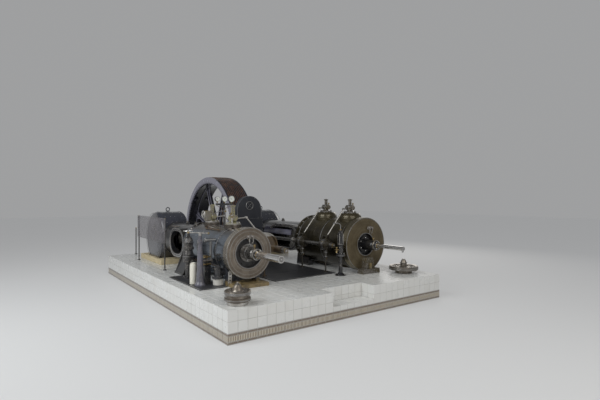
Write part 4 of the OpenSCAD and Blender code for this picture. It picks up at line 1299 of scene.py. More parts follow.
NODE_FINISHES: dict[Finish, str] = {
    FLOOR_IRON: "floor_plates", LEFT_SHEET: "left_cylinder", RIGHT_SHEET: "right_cylinder",
    LEFT_COVER: "left_rear_cover", RIGHT_COVER: "right_rear_cover", NEAR_BLACK_AND_SHADE: "right_tail_gland",
    SHAFT_STEEL: "left_tail_gland left_lay_shaft right_lay_shaft", LEFT_FOOT: "left_cylinder_foot",
    OLIVE_IRON: "right_cylinder_foot right_valve_bonnets", LEFT_GUIDE: "left_guide",
    RIGHT_GUIDE: "right_guide", VIOLET_PAINT: "right_guide_hood", PINE_ALONG: "casing_boards",
    CASING_PAINT: "left_crank_casing right_crank_casing", GREEN_BRONZE: "left_valve_bonnets",
    DARK_IRON: "left_main_bearing right_main_bearing gear_cases", RUSTY_GEAR: "left_valve_gear",
    GEAR_IRON: "right_valve_gear", SHIELD_PAINT: "wheel_shield", WIRE: "guard_panel",
    BLACK_IRON: "gauge_stand guard_posts drain_fittings stop_valve", COLUMN_PAINT: "indicator_column",
    BLACK_GLOSS: "drain_column", CREAM: "oil_can", PISTON_IRON: "small_spare_piston large_spare_piston",
    STEEL: "crankshaft left_crosshead right_crosshead left_connecting_rod right_connecting_rod",
    WHEEL_PAINT: "rope_wheel", HEMP: "drive_ropes", ROD_STEEL: "left_piston_rod right_piston_rod",
}


@dataclass(frozen=True)
class Studio:
    """The pale floor, the soft lamps and the camera at the photograph's angle."""

    floor_z: float = 0.6
    floor_reach: float = 40.0
    camera_place: Point = (-4.76, -8.25, 2.51)
    camera_turn: float = -36.57
    lens: float = 25.44
    sensor: float = 36.0
    shift: float = -2 / 600
    world_level: float = 0.42
    roof_level: float = 0.105
    daylight: Colour = (0.93, 0.96, 1.0)
    floor_tone: Colour = (0.40, 0.40, 0.395)
    floor_glow: Colour = (0.26, 0.262, 0.265)
    backdrop: Colour = (0.345, 0.348, 0.352)

    def build(self, low: Vector, high: Vector) -> None:
        """Builds the floor round the plinth, the world, the lamps and the camera."""
        self.floor(low, high)
        self.world()
        self.lamp("window_left", (-7.5, -2.0, 6.5), (0.0, 0.0, 1.4), 6.0, 520.0, (0.95, 0.98, 1.0))
        self.lamp("window_front", (-1.0, -9.5, 6.0), (0.0, 0.0, 1.2), 6.0, 280.0, (1.0, 0.985, 0.96))
        self.lamp("window_right", (8.0, 2.0, 6.0), (0.0, 0.5, 1.4), 5.0, 170.0, (1.0, 0.97, 0.93))
        self.camera()

    def floor(self, low: Vector, high: Vector) -> None:
        """Builds the floor with a hole where the plinth goes through it.

        Args:
            low: The lowest corner of its box.
            high: The highest corner of its box.
        """
        reach, lip = self.floor_reach, 0.002
        xs = (-reach, low.x + lip, high.x - lip, reach)
        ys = (-reach, low.y + lip, high.y - lip, reach)
        made = bmesh.new()
        grid = [[made.verts.new((x, y, self.floor_z)) for x in xs] for y in ys]
        for row, column in ((r, c) for r in range(3) for c in range(3) if (r, c) != (1, 1)):
            made.faces.new((grid[row][column], grid[row][column + 1],
                            grid[row + 1][column + 1], grid[row + 1][column]))
        mesh = bpy.data.meshes.new("hall_floor")
        made.to_mesh(mesh)
        made.free()
        material = bpy.data.materials.new("pale_floor")
        ShaderGraph(material).surface(self.floor_tone, 0.95, Specular_IOR_Level=0.1,
                                      Emission_Color=self.floor_glow, Emission_Strength=1.0)
        mesh.materials.append(material)
        floor = shown("hall_floor", mesh)

    def world(self) -> None:
        """Lights the engine under a darker roof, and shows a pale backdrop to the camera and metal."""
        world = bpy.data.worlds.new("studio")
        bpy.context.scene.world = world
        graph = ShaderGraph(world)
        path = graph.node("LightPath", output="Is Camera Ray")
        seen = path.most(path.output("Is Transmission Ray")).most(path.output("Is Glossy Ray"))
        height = graph.parts(graph.node("TexCoord", output="Generated"))[2]
        tones = ((self.daylight, self.world_level), (self.daylight, self.roof_level), (self.backdrop, 1.0))
        light, roof, backdrop = (graph.node("Background", Color=tone, Strength=level) for tone, level in tones)
        plain = graph.node("MixShader", None, {0: height.step(0.15, 0.75), 1: light, 2: roof})
        pale = graph.node("MixShader", None, {0: height.step(0.42, 0.62), 1: backdrop, 2: roof})
        graph.leave(graph.node("MixShader", None, {0: seen, 1: plain, 2: pale}))

    def lamp(self, name: str, place: Point, target: Point, size: float, power: float, tint: Colour) -> None:
        """Hangs one soft square lamp that faces a target.

        Args:
            name: The lamp's name.
            place: Where it hangs.
            target: What it faces.
            size: Length of its sides.
            power: Its power in watts.
            tint: Its colour.
        """
        data = bpy.data.lights.new(name, "AREA")
        data.size = size
        data.energy = power
        data.color = tint
        made = shown(name, data)
        made.location = place
        made.rotation_euler = (Vector(target) - Vector(place)).to_track_quat("-Z", "Y").to_euler()

    def camera(self) -> None:
        """Stands the camera at the photograph's viewpoint."""
        data = bpy.data.cameras.new("camera")
        data.lens = self.lens
        data.sensor_width = self.sensor
        data.shift_y = self.shift
        made = shown("camera", data)
        made.location = self.camera_place
        made.rotation_euler = (math.pi / 2, 0.0, math.radians(self.camera_turn))
        bpy.context.scene.camera = made


@dataclass(frozen=True)
class Side:
    """One engine of the pair. Its measures start at the cylinder's axis, but along Y at the origin."""

    name: str
    sign: int
    barrel_r: float
    recess_r: float
    rod_r: float
    valve_ys: tuple[float, float]
    cover: Finish
    bonnet: Finish

    @property
    def origin(self) -> Vector:
        """Where the cylinder's axis crosses Y = 0."""
        low, high = corners(f"{self.name}_rear_cover")
        return Vector(((low.x + high.x) / 2, 0.0, (low.z + high.z) / 2))

    @property
    def cover_r(self) -> float:
        """Radius of the rear cover."""
        return self.box("rear_cover")[1].x

    @property
    def ground(self) -> float:
        """Height of the plinth's top."""
        return corners("plinth")[1].z - self.origin.z

    def box(self, node: str) -> tuple[Vector, Vector]:
        """Gives the corners of one of this side's nodes."""
        low, high = corners(f"{self.name}_{node}")
        return low - self.origin, high - self.origin

    def start(self, *finishes: Finish, axis: Axis = Axis.Y) -> Shape:
        """Starts a piece in this side's measures."""
        return Shape(*finishes, origin=self.origin, axis=axis)


LEFT = Side("left", -1, 0.400, 0.250, 0.055, (-1.53, -0.68), LEFT_COVER, GREEN_BRONZE)
RIGHT = Side("right", 1, 0.495, 0.215, 0.038, (-1.87, -1.11), RIGHT_COVER, OLIVE_IRON)


@dataclass(frozen=True)
class TiledPlinth:
    """The white-tiled plinth, with its step, its border course and the wheel's pit."""

    pitch: float = TILE_PITCH
    floor_z: float = 0.6
    step_half: float = 0.45
    step_depth: float = 0.3
    step_z: float = 0.825
    pit_half_w: float = 0.405
    pit_low_y: float = 0.30
    pit_high_y: float = 3.10
    inset: float = 0.003
    bed: float = 0.0007
    near: float = 0.001

    def build(self) -> None:
        """Builds the cement core and sets the tiles on it."""
        low, high = corners("plinth")
        core = self.core(low, high)
        tiles = Shape(WHITE_TILE)
        border = Shape(BORDER_TILE)
        across, along, up = Vector((1, 0, 0)), Vector((0, 1, 0)), Vector((0, 0, 1))
        self.field(tiles, (low.x, low.y, high.z), across, along, 30, 44, self.off_pit)
        faces = (((low.x, low.y), across, 30), ((high.x, low.y), along, 44),
                 ((high.x, high.y), -across, 30), ((low.x, high.y), -along, 44))
        for (x, y), way, columns in faces:
            self.field(tiles, (x, y, self.floor_z + self.pitch), way, up, columns, 2, self.off_step)
            self.field(border, (x, y, self.floor_z), way, up, columns, 1)
        half, back, below = self.step_half, low.y + self.step_depth, high.z - 2 * self.pitch
        self.field(tiles, (-half, low.y, self.step_z), across, along, 6, 2)
        self.field(tiles, (-half, back, below), across, up, 6, 2, self.above_tread)
        self.field(tiles, (-half, low.y, below), along, up, 2, 2, self.above_tread)
        self.field(tiles, (half, back, below), -along, up, 2, 2, self.above_tread)
        laid = tiles.piece("plinth_tiles", "white_tile")
        border.piece("plinth_border", "white_tile")
        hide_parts("plinth")

    def field(self, shape: Shape, corner: Point, way: Vector, rise: Vector, columns: int, rows: int,
              fit: Callable[[Vector], Vector] | None = None) -> None:
        """Sets one field of tiles on a face.

        Args:
            shape: The piece that gets the tiles.
            corner: Where the field starts.
            way: The direction of its rows.
            rise: The direction of its columns.
            columns: How many tiles it has along its rows.
            rows: How many tiles it has along its columns.
            fit: Moves a corner of a cut tile to the edge that cuts it.
        """
        facing = way.cross(rise)
        turn = Matrix((way, rise, facing)).transposed().to_4x4()
        made = Trees.get("tiles").mesh(WHITE_TILE, Columns=columns, Rows=rows, Pitch=self.pitch,
                                       Seed=columns + rows)
        made.transform(Matrix.Translation(Vector(corner) - facing * self.bed) @ turn)
        if fit:
            self.trim(made, fit)
        shape.add(made, Matrix.Identity(4))

    @staticmethod
    def trim(made: bpy.types.Mesh, fit: Callable[[Vector], Vector]) -> None:
        """Cuts tiles back to an edge, and takes out those that lie wholly past it.

        Args:
            made: The tiles.
            fit: Moves a corner to the edge that cuts its tile.
        """
        cut = bmesh.new()
        cut.from_mesh(made)
        moves = {vertex: fit(vertex.co) for vertex in cut.verts}
        gone = [face for face in cut.faces if all((moves[v] - v.co).length > 0 for v in face.verts)]
        bmesh.ops.delete(cut, geom=gone, context="FACES")
        for vertex in list(cut.verts):
            if vertex.link_faces:
                vertex.co = moves[vertex]
            else:
                cut.verts.remove(vertex)
        cut.to_mesh(made)
        cut.free()

    def off_pit(self, corner: Vector) -> Vector:
        """Moves a tile's corner out of the pit and out of the step.

        Args:
            corner: The corner.

        Returns:
            Where it goes.
        """
        x, y, z = corner
        if abs(x) < self.pit_half_w and self.pit_low_y < y < self.pit_high_y:
            edges = {
                self.pit_half_w - abs(x): (math.copysign(self.pit_half_w, x), y, z),
                y - self.pit_low_y: (x, self.pit_low_y, z),
                self.pit_high_y - y: (x, self.pit_high_y, z),
            }
            return Vector(edges[min(edges)])
        back = corners("plinth")[0].y + self.step_depth
        if abs(x) < self.step_half and y < back:
            return Vector((x, back, z))
        return corner.copy()

    def off_step(self, corner: Vector) -> Vector:
        """Moves a tile's corner down to the step's tread.

        Args:
            corner: The corner.

        Returns:
            Where it goes.
        """
        x, y, z = corner
        middle = corners("plinth")[0].y + self.step_depth / 2
        if abs(x) < self.step_half and z > self.step_z and y < middle:
            return Vector((x, y, self.step_z))
        return corner.copy()

    def above_tread(self, corner: Vector) -> Vector:
        """Cuts the lower tiles off at the step's tread."""
        return Vector((corner.x, corner.y, max(corner.z, self.step_z)))

    def core(self, low: Vector, high: Vector) -> bpy.types.Object:
        """Builds the cement body, a joint's depth inside the tiles' faces.

        Args:
            low: The plinth's lowest corner.
            high: Its highest corner.

        Returns:
            The core.
        """
        made = bmesh.new()
        made.from_mesh(bpy.data.objects["plinth"].data)
        bmesh.ops.remove_doubles(made, verts=list(made.verts), dist=0.0001)
        back = low.y + self.step_depth
        for vertex in made.verts:
            x, y, z = vertex.co
            if abs(abs(x) - high.x) < self.near:
                x -= math.copysign(self.inset, x)
            elif abs(abs(x) - self.step_half) < self.near:
                x += math.copysign(self.inset, x)
            if abs(abs(y) - high.y) < self.near:
                y -= math.copysign(self.inset, y)
            elif abs(y - back) < self.near:
                y += self.inset
            if z > high.z - self.near or abs(z - self.step_z) < self.near:
                z -= self.inset
            vertex.co = (x, y, z)
        mesh = bpy.data.meshes.new("plinth_core")
        made.to_mesh(mesh)
        made.free()
        mesh.materials.clear()
        mesh.materials.append(CEMENT.material())
        core = shown("plinth_core", mesh)
        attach(core, "root")
        return core


@dataclass(frozen=True)
class CylinderDress:
    """Hoops, flange nuts and oil pipes of one lagged cylinder."""

    side: Side

    def build(self) -> None:
        """Builds the cylinder's hoops with their painted shade, its nuts and its small pipework."""
        side, barrel = self.side, self.side.barrel_r
        low, high = side.box("cylinder")
        hoops = side.start(EDGE_STEEL, STEEL, BLACK_IRON)
        for y, width in self.hoop_places(low.y, high.y):
            hoops.use(EDGE_STEEL).hoop(barrel + 0.0005, barrel + 0.0045, y, y + width, 96)
            # The black strip either side of each hoop is partly painted shade: the dark line of the seam and of
            # the hoop's shadow.
            hoops.use(BLACK_IRON).hoop(barrel + 0.0003, barrel + 0.002, y - 0.008, y + width + 0.008, 96)
        hoops.piece(f"{side.name}_barrel_hoops", "bright_steel")
        nuts = side.start(STEEL)
        for y, flip in ((low.y + 0.05, False), (high.y - 0.05, True)):
            nuts.bolts(20, side.cover_r - 0.022, 0.014, y, flip, 0.08)
        nuts.piece(f"{side.name}_flange_nuts", "bright_steel")
        self.pipes()

    def hoop_places(self, low: float, high: float) -> list[tuple[float, float]]:
        """Gives where the hoops start along the barrel and how wide they are.

        Args:
            low: Where the cylinder starts.
            high: Where it ends.

        Returns:
            Start and width of each hoop.
        """
        if self.side is LEFT:
            return [(low + 0.075, 0.014), (-1.66, 0.012), (-0.90, 0.010), (high - 0.10, 0.014)]
        return [(low + 0.075, 0.016), (-1.50, 0.012), (high - 0.10, 0.016)]

    def pipes(self) -> None:
        """Builds the oil pipes that hug the barrel, with their clips and unions."""
        side, sign, reach = self.side, self.side.sign, self.side.barrel_r + 0.016
        near, far = side.valve_ys
        pipes = side.start(COPPER, BRASS, BLACK_IRON)
        for turn, y0, y1 in ((58, near + 0.06, far - 0.16), (-38, near - 0.10, far + 0.10)):
            x, _, z = Axis.Y.out(math.radians(turn), reach)
            x *= sign
            path = [(x, y0, z), (x, y1, z), (x - sign * 0.08, y1 + 0.03, z + 0.045)]
            pipes.use(COPPER).bent(path, 0.006, 0.03)
            pipes.use(BRASS).on(Axis.Y, (x, 0.0, z))
            for k in range(4):
                y = y0 + (y1 - y0) * (k + 0.5) / 4
                pipes.hoop(0.0065, 0.011, y, y + 0.014, 10)
        x, _, z = Axis.Y.out(math.radians(-62), reach)
        for k in range(3):
            pipes.use(BLACK_IRON).on(Axis.Z, (sign * x, near + 0.2 + k * 0.2, z))
            pipes.disc(0.017, -0.012, 0.022, 10)
        pipes.piece(f"{side.name}_barrel_pipes", "bright_steel")


@dataclass(frozen=True)
class CoverDress:
    """The turned rings, studs, cocks and tail gland of one rear cover."""

    side: Side

    def build(self) -> None:
        """Builds the cover's rings, its recess, its gland and its cocks."""
        self.rings()
        self.recess()
        self.gland()
        self.fittings()

    @property
    def face(self) -> float:
        """Where the rear cover's face is."""
        return self.side.box("rear_cover")[0].y

    def rings(self) -> None:
        """Builds the raised bright beads that the lathe left on the cover."""
        side, face = self.side, self.face
        beads = side.start(EDGE_STEEL, side.cover)
        outer, mouth = side.cover_r - 0.006, side.recess_r
        beads.hoop(outer - 0.010, outer, face - 0.004, face + 0.002, 96)
        beads.hoop(mouth, mouth + 0.012, face - 0.004, face + 0.002, 80)
        beads.use(EDGE_STEEL if side is LEFT else side.cover)
        for radius in (outer - 0.055, mouth + 0.045):
            beads.hoop(radius - 0.006, radius, face - 0.0025, face + 0.002, 96)
        beads.piece(f"{side.name}_cover_beads", "cover_iron" if side is LEFT else "bronze_cover")

    def recess(self) -> None:
        """Builds the near-black recess plate and lining, whose colour holds the recess's painted shade, with its
        studs.
        """
        side, seat = self.side, self.face + 0.075
        dark = side.start(NEAR_BLACK_AND_SHADE, EDGE_STEEL, STEEL)
        # Painted shade: the plate at the recess's floor and the lining of its wall are near-black for the shade
        # inside the recess.
        dark.hoop(0.152, side.recess_r - 0.001, seat - 0.012, seat + 0.001, 80)
        dark.hoop(side.recess_r - 0.006, side.recess_r - 0.0005, seat - 0.07, seat, 80)
        if side is LEFT:
            dark.bolts(12, 0.205, 0.013, seat - 0.012, True)
            dark.use(EDGE_STEEL).bolts(6, 0.128, 0.014, seat - 0.040, True, 0.3)
            dark.hoop(0.1055, 0.111, seat - 0.115, seat - 0.085, 48)
        else:
            dark.bolts(8, 0.185, 0.013, seat - 0.012, True).use(STEEL)
            for turn in round_turns(6, TAU / 12):
                dark.on(Axis.Y, Axis.Y.out(turn, 0.128) + Vector((0, seat, 0)))
                dark.turned([(0.0, -0.075), (0.009, -0.072), (0.014, -0.064), (0.016, -0.040),
                             (0.0, -0.040)], 12)
        dark.piece(f"{side.name}_cover_recess", "black_iron")

    def gland(self) -> None:
        """Builds the collar, the nuts and the oiler of the tail gland."""
        side, rod = self.side, self.side.rod_r
        nose = side.box("tail_gland")[0].y
        gland = side.start(STEEL, BLACK_GLOSS, BRASS)
        gland.hoop(0.0855, 0.093, nose + 0.012, nose + 0.046, 48)
        gland.use(BLACK_GLOSS).hoop(rod + 0.002, 0.082, nose - 0.016, nose + 0.002, 48, 0.006)
        gland.use(STEEL).bolts(6, 0.066, 0.0085, nose - 0.016, True)
        gland.use(BRASS).hoop(rod + 0.002, rod + 0.009, nose - 0.024, nose - 0.014, 40)
        gland.on(Axis.Z, (0, nose + 0.10, 0.093))
        gland.turned([(0.0, 0.0), (0.012, 0.0), (0.012, 0.018), (0.021, 0.024), (0.021, 0.052), (0.015, 0.060),
                      (0.006, 0.064), (0.0, 0.066)], 20)
        gland.piece(f"{side.name}_gland_fittings", "bright_steel")

    def fittings(self) -> None:
        """Builds the brown cock block and its two drops above the gland."""
        at = Vector((0.012, self.face, 0.262) if self.side is LEFT else (0.10, self.face, 0.315))
        made = self.side.start(RED_IRON, STEEL, BRASS, EDGE_STEEL).on(Axis.Y, at)
        made.plate([(-0.055, -0.035), (0.055, -0.035), (0.075, 0.0), (0.05, 0.042), (-0.05, 0.042),
                    (-0.075, 0.0)], -0.020, -0.002, 0.004)
        for s in (-1, 1):
            made.use(RED_IRON).on(Axis.Y, at + Vector((s * 0.034, 0, 0.004)))
            made.turned([(0.0, -0.062), (0.020, -0.060), (0.027, -0.048), (0.022, -0.030), (0.030, -0.022),
                         (0.030, -0.016), (0.0, -0.016)], 20)
            made.use(EDGE_STEEL).bolts(1, 0.0, 0.011, -0.060, True)
            drop = ((0.034, -0.045, -0.018), (0.036, -0.048, -0.075), (0.020, -0.030, -0.110))
            made.use(STEEL if self.side is LEFT else RED_IRON)
            made.bent([at + Vector((s * x, y, z)) for x, y, z in drop], 0.0085, 0.03)
        made.use(BRASS).on(Axis.Y, at).bolts(4, 0.058, 0.006, -0.020, True, 0.78)
        made.piece(f"{self.side.name}_cover_cocks", "cover_iron")


@dataclass(frozen=True)
class ValveDress:
    """Nuts, springs, pins and oilers of one cylinder's valve bonnets."""

    side: Side

    def build(self) -> None:
        """Builds the fittings of both bonnets."""
        side = self.side
        low, high = side.box("valve_bonnets")
        base, tall = low.z, high.z - low.z
        steel = STEEL if side is LEFT else SHAFT_STEEL
        bright = side.start(steel, EDGE_STEEL)
        warm = side.start(BRASS, side.bonnet, RED_IRON)
        for y in side.valve_ys:
            bright.use(steel).on(Axis.Z, (0, y, base)).bolts(8, 0.112, 0.013, 0.026, False, 0.2)
            bright.hoop(0.1325, 0.1355, 0.005, 0.021, 56)
            bright.use(EDGE_STEEL).hoop(0.0545, 0.0575, 0.128, 0.146, 32).hoop(0.0785, 0.081, 0.158, 0.163, 40)
            coil = Trees.get("coil").mesh(steel, Turns=4.0, Radius=0.0185, Height=tall - 0.200, Wire=0.0028)
            bright.use(steel).add(coil, Matrix.Translation((0, y, base + 0.168)))
            for x, nut, drop in ((-0.026, 0.0115, 0.018), (0.026, 0.0115, 0.018), (0.0, 0.010, 0.010)):
                bright.nut(nut, (x, y, base + tall - drop))
            for s, flip in ((-1, True), (1, False)):
                warm.use(side.bonnet).on(Axis.Y, (0, y + s * 0.092, base + 0.110))
                warm.disc(0.049, -0.007, 0.007, 32)
                warm.use(BRASS).bolts(6, 0.036, 0.005, s * 0.007, flip).bolts(1, 0.0, 0.012, s * 0.007, flip)
            warm.on(Axis.Z, (side.sign * 0.052, y - 0.03, base + 0.150))
            warm.turned([(0.0, 0.0), (0.007, 0.0), (0.007, 0.02), (0.016, 0.026), (0.016, 0.050),
                         (0.011, 0.056), (0.0, 0.058)], 16)
        bright.piece(f"{side.name}_bonnet_nuts", "bright_steel")
        warm.piece(f"{side.name}_bonnet_fittings", "brass" if side is LEFT else "olive_iron")
        if side is LEFT:
            self.small_extras(base)

    def small_extras(self, base: float) -> None:
        """Builds the handwheel, the green box, the side rods and the bent lubricator of the small valves.

        Args:
            base: Height of the bonnets' feet.
        """
        near, far = self.side.valve_ys
        made = self.side.start(GREEN_BRONZE, STEEL, EDGE_STEEL, RED_IRON, BRASS)
        made.block((-0.150, far - 0.055, base + 0.030), (-0.045, far + 0.055, base + 0.205), 0.008)
        made.block((-0.160, far - 0.065, base + 0.195), (-0.035, far + 0.065, base + 0.215), 0.004)
        made.use(BRASS).on(Axis.Z, (-0.098, far, base)).bolts(4, 0.050, 0.008, 0.215, False, 0.78)
        made.use(RED_IRON).on(Axis.X, (0.0, far, base + 0.153)).disc(0.017, -0.19, -0.14, 16)
        made.use(STEEL).on(Axis.X, (-0.180, far, base + 0.153))
        made.handwheel(0.068, 40, 0.012, 0.015, 0.066, 0.005)
        made.tube([(-0.052, near - 0.07, base + 0.026), (-0.052, near - 0.07, base + 0.170)], 0.017, 16)
        made.use(BRASS).on(Axis.Z, (-0.052, near - 0.07, base)).disc(0.023, 0.120, 0.150, 16)
        made.use(EDGE_STEEL).tube([(0.07, -1.10, base - 0.06), (0.07, -1.10, base + 0.27)], 0.010, 12)
        made.bent([(0.07, -1.10, base + 0.225), (-0.02, -1.10, base + 0.225), (-0.02, far - 0.20, base + 0.19),
                   (-0.02, far - 0.06, base + 0.16)], 0.006, 0.03)
        made.use(BRASS).on(Axis.Z, (0.07, -1.10, base)).disc(0.018, 0.205, 0.235, 14)
        made.disc(0.024, -0.045, -0.029, 16)
        made.piece("left_valve_extras", "brass")


@dataclass(frozen=True)
class TripGearDress:
    """Caps, pins, dashpots and oilers of one engine's trip gear, and the end of its lay shaft."""

    side: Side

    def build(self) -> None:
        """Builds the fittings of both trip gears and of the lay shaft."""
        side, sign = self.side, self.side.sign
        x = -0.65 * sign
        caps = side.start(GEAR_IRON, SHAFT_STEEL, EDGE_STEEL, BRASS)
        for y in side.valve_ys:
            for s, flip in ((-1, True), (1, False)):
                caps.use(GEAR_IRON).on(Axis.Y, (x, y + s * 0.095, 0)).hoop(0.038, 0.088, -0.008, 0.008, 40)
                caps.use(SHAFT_STEEL).bolts(8, 0.072, 0.0085, s * 0.008, flip)
                caps.nut(0.016, (x, y + s * 0.075, 0.160), flip)
            caps.use(EDGE_STEEL).on(Axis.Y, (x, y, 0)).hoop(0.1105, 0.114, -0.03, 0.03, 48)
            for degrees in (30, 90, 150):
                caps.use(BRASS).on(Axis.Z, Vector((x, y, 0)) + Axis.Y.out(math.radians(degrees), 0.111))
                caps.disc(0.011, -0.008, 0.014, 12)
            caps.use(EDGE_STEEL).on(Axis.Z, (x, y, -0.24))
            caps.hoop(0.0445, 0.049, 0.0, 0.016, 32).hoop(0.0445, 0.049, 0.085, 0.100, 32)
            caps.use(SHAFT_STEEL).on(Axis.Z, (x, y, 0)).bolts(4, 0.036, 0.005, 0.099, False, 0.4)
            x1, y1 = x + sign * 0.07, y + 0.05
            caps.use(BRASS).bent([(x, y1, -0.15), (x1, y1, -0.17), (x1, y1, -0.30)], 0.006, 0.02)
            caps.use(SHAFT_STEEL).bolts(3, 0.033, 0.006, side.ground + 0.026)
        caps.piece(f"{side.name}_trip_gear_fittings", "gear_bronze")
        start = side.box("lay_shaft")[0].y
        end = side.start(BRASS, STEEL).on(Axis.Y, (x, 0, 0))
        end.hoop(0.0355, 0.041, start + 0.002, start + 0.026, 32)
        end.use(STEEL).disc(0.013, start - 0.008, start + 0.002, 20)
        for y in (side.valve_ys[1] + 0.30, 0.35, 0.85):
            end.hoop(0.0355, 0.060, y, y + 0.022, 40).bolts(6, 0.048, 0.0065, y, True)
            end.hoop(0.0355, 0.060, y + 0.023, y + 0.045, 40)
        end.piece(f"{side.name}_lay_shaft_couplings", "bright_steel", f"{side.name}_lay")


@dataclass(frozen=True)
class GuideDress:
    """Machined rims, flange nuts, oilers and holding-down bolts of one bored guide."""

    side: Side
    window_half: float = 0.230
    back: float = 1.11

    @property
    def front(self) -> float:
        """Where the cylinder ends and the guide begins."""
        return self.side.box("cylinder")[1].y

    def oval(self, wider: float, steps: int = 16) -> list[tuple[float, float]]:
        """Gives an outline with round ends, wider than the window all round.

        Args:
            wider: How much wider it is.
            steps: How many steps a round end has.

        Returns:
            Its corners as Y and Z.
        """
        half = self.window_half
        ends = ((self.back - 0.51 - half, -90.0), (self.front + 0.19 + half, 90.0))
        turned = [(y, math.radians(start + 180.0 * k / steps)) for y, start in ends for k in range(steps + 1)]
        return [(y + (half + wider) * math.cos(t), (half + wider) * math.sin(t)) for y, t in turned]

    def build(self) -> None:
        """Builds the guide's rims, its nuts, its oil tray and its bolts."""
        self.rims()
        self.fittings()

    def rims(self) -> None:
        """Builds the raised rims of the windows and the nuts of the guide's flange."""
        made = self.side.start(EDGE_STEEL, STEEL, BRASS, DARK_IRON)
        for s in (-1, 1):
            x = s * 0.353
            made.on(Axis.X).use(DARK_IRON).band(self.oval(0.002), self.oval(0.066), x - 0.002, x + 0.003 * s)
            made.use(STEEL)
            for wider, width in ((0.004, 0.010), (0.046, 0.018)):
                made.band(self.oval(wider), self.oval(wider + width), x - 0.001, x + 0.0055 * s)
            for y, z in self.oval(0.030, 5):
                made.nut(0.009, (x + 0.003 * s, y, z), s < 0)
        made.on(Axis.Y).bolts(20, 0.368, 0.013, self.front + 0.060, False, 0.1)
        made.piece(f"{self.side.name}_window_rims", "bright_steel")

    def fittings(self) -> None:
        """Builds the oilers, the oil tray and the holding-down bolts."""
        side, front = self.side, self.front
        top = side.start(BRASS, DARK_IRON, STEEL, RED_IRON)
        for y in (front + 0.35, self.back - 0.55):
            top.use(DARK_IRON).on(Axis.Z, (0, y, 0.342)).disc(0.046, 0.0, 0.016, 28)
            top.turned([(0.0, 0.016), (0.030, 0.016), (0.034, 0.022), (0.034, 0.046), (0.028, 0.054),
                        (0.0, 0.058)], 24)
            top.use(BRASS).disc(0.009, 0.056, 0.068, 12)
            top.use(STEEL).tube([(0, y + 0.03, 0.377), (0, y + 0.07, 0.377)], 0.005)
        tray = Vector((side.sign * 0.20, 0.72, 0.300))
        top.use(RED_IRON).on(Axis.Z, tray)
        top.plate([(-0.07, -0.13), (0.02, -0.16), (0.07, -0.02), (0.05, 0.13), (-0.06, 0.12)],
                  -0.006, 0.010, 0.003)
        top.use(STEEL).tube([tray - Vector((0, 0, 0.030)), tray], 0.012, 10)
        top.bolts(2, 0.05, 0.008, 0.010, False, 1.6)
        for across in (-0.50, 0.33):
            for y in (front - 0.22, front - 0.06, front + 0.07):
                top.nut(0.020, (-side.sign * across, y, side.ground + 0.040))
        top.piece(f"{side.name}_guide_fittings", "dark_iron")


@dataclass(frozen=True)
class CasingDress:
    """Hoops, cover bolts, seams and rivets of one crank casing."""

    side: Side
    centre_y: float = 1.70
    radius: float = 0.59

    def build(self) -> None:
        """Builds the casing's face and its edge hoops, the outer one a painted highlight on the shoulder."""
        side, out = self.side, self.side.sign
        low, high = side.box("crank_casing")
        outer = low.x if side is LEFT else high.x
        face = outer - out * 0.008
        hoops = side.start(STEEL, CASING_PAINT, EDGE_STEEL).on(Axis.X, (0, self.centre_y, 0.10))
        hoops.hoop(0.170, 0.182, face, face + out * 0.010, 72)
        hoops.bolts(10, 0.150, 0.010, outer, out < 0).bolts(1, 0.0, 0.022, outer, out < 0)
        hoops.use(CASING_PAINT).hoop(0.045, 0.120, outer - out * 0.001, outer + out * 0.005, 72)
        hoops.use(EDGE_STEEL).on(Axis.X, (0, self.centre_y, 0))
        hoops.hoop(0.487, 0.494, face - out * 0.001, face + out * 0.004, 72)
        # Painted highlight: a bright steel hoop where the light catches the casing's shoulder.
        hoops.hoop(0.556, 0.566, face - out * 0.001, face + out * 0.003, 72)
        hoops.piece(f"{side.name}_casing_face", "casing_paint")
        self.seams(face, low.z + 0.02)

    def seams(self, face: float, bottom: float) -> None:
        """Builds the casing's seams down to its foot, and its rivets.

        Args:
            face: Where the casing's face is across.
            bottom: Where the seams end.
        """
        out, r = self.side.sign, self.radius
        seams = self.side.start(CASING_PAINT, STEEL).on(Axis.X, (0, self.centre_y, 0))
        for depth in (0.100, 0.320, 0.590):
            x = face - out * depth
            seams.turned([(r - 0.001, x - 0.011), (r + 0.004, x - 0.009), (r + 0.004, x + 0.009),
                          (r - 0.001, x + 0.011)], 96, ring=True)
        mesh = seams.mesh
        bmesh.ops.bisect_plane(mesh, geom=[*mesh.verts, *mesh.edges, *mesh.faces], plane_co=(0, 0, bottom),
                               plane_no=(0, 0, -1), clear_outer=True)
        seams.use(STEEL)
        for depth in (0.150, 0.270, 0.370, 0.540):
            for degrees in spread(20, 160, 9):
                spot = Axis.X.out(math.radians(degrees), r) + Vector((face - out * depth, self.centre_y, 0))
                seams.on(Axis.Z, spot).disc(0.008, -0.003, 0.005, 10)
        seams.piece(f"{self.side.name}_casing_seams", "casing_paint")


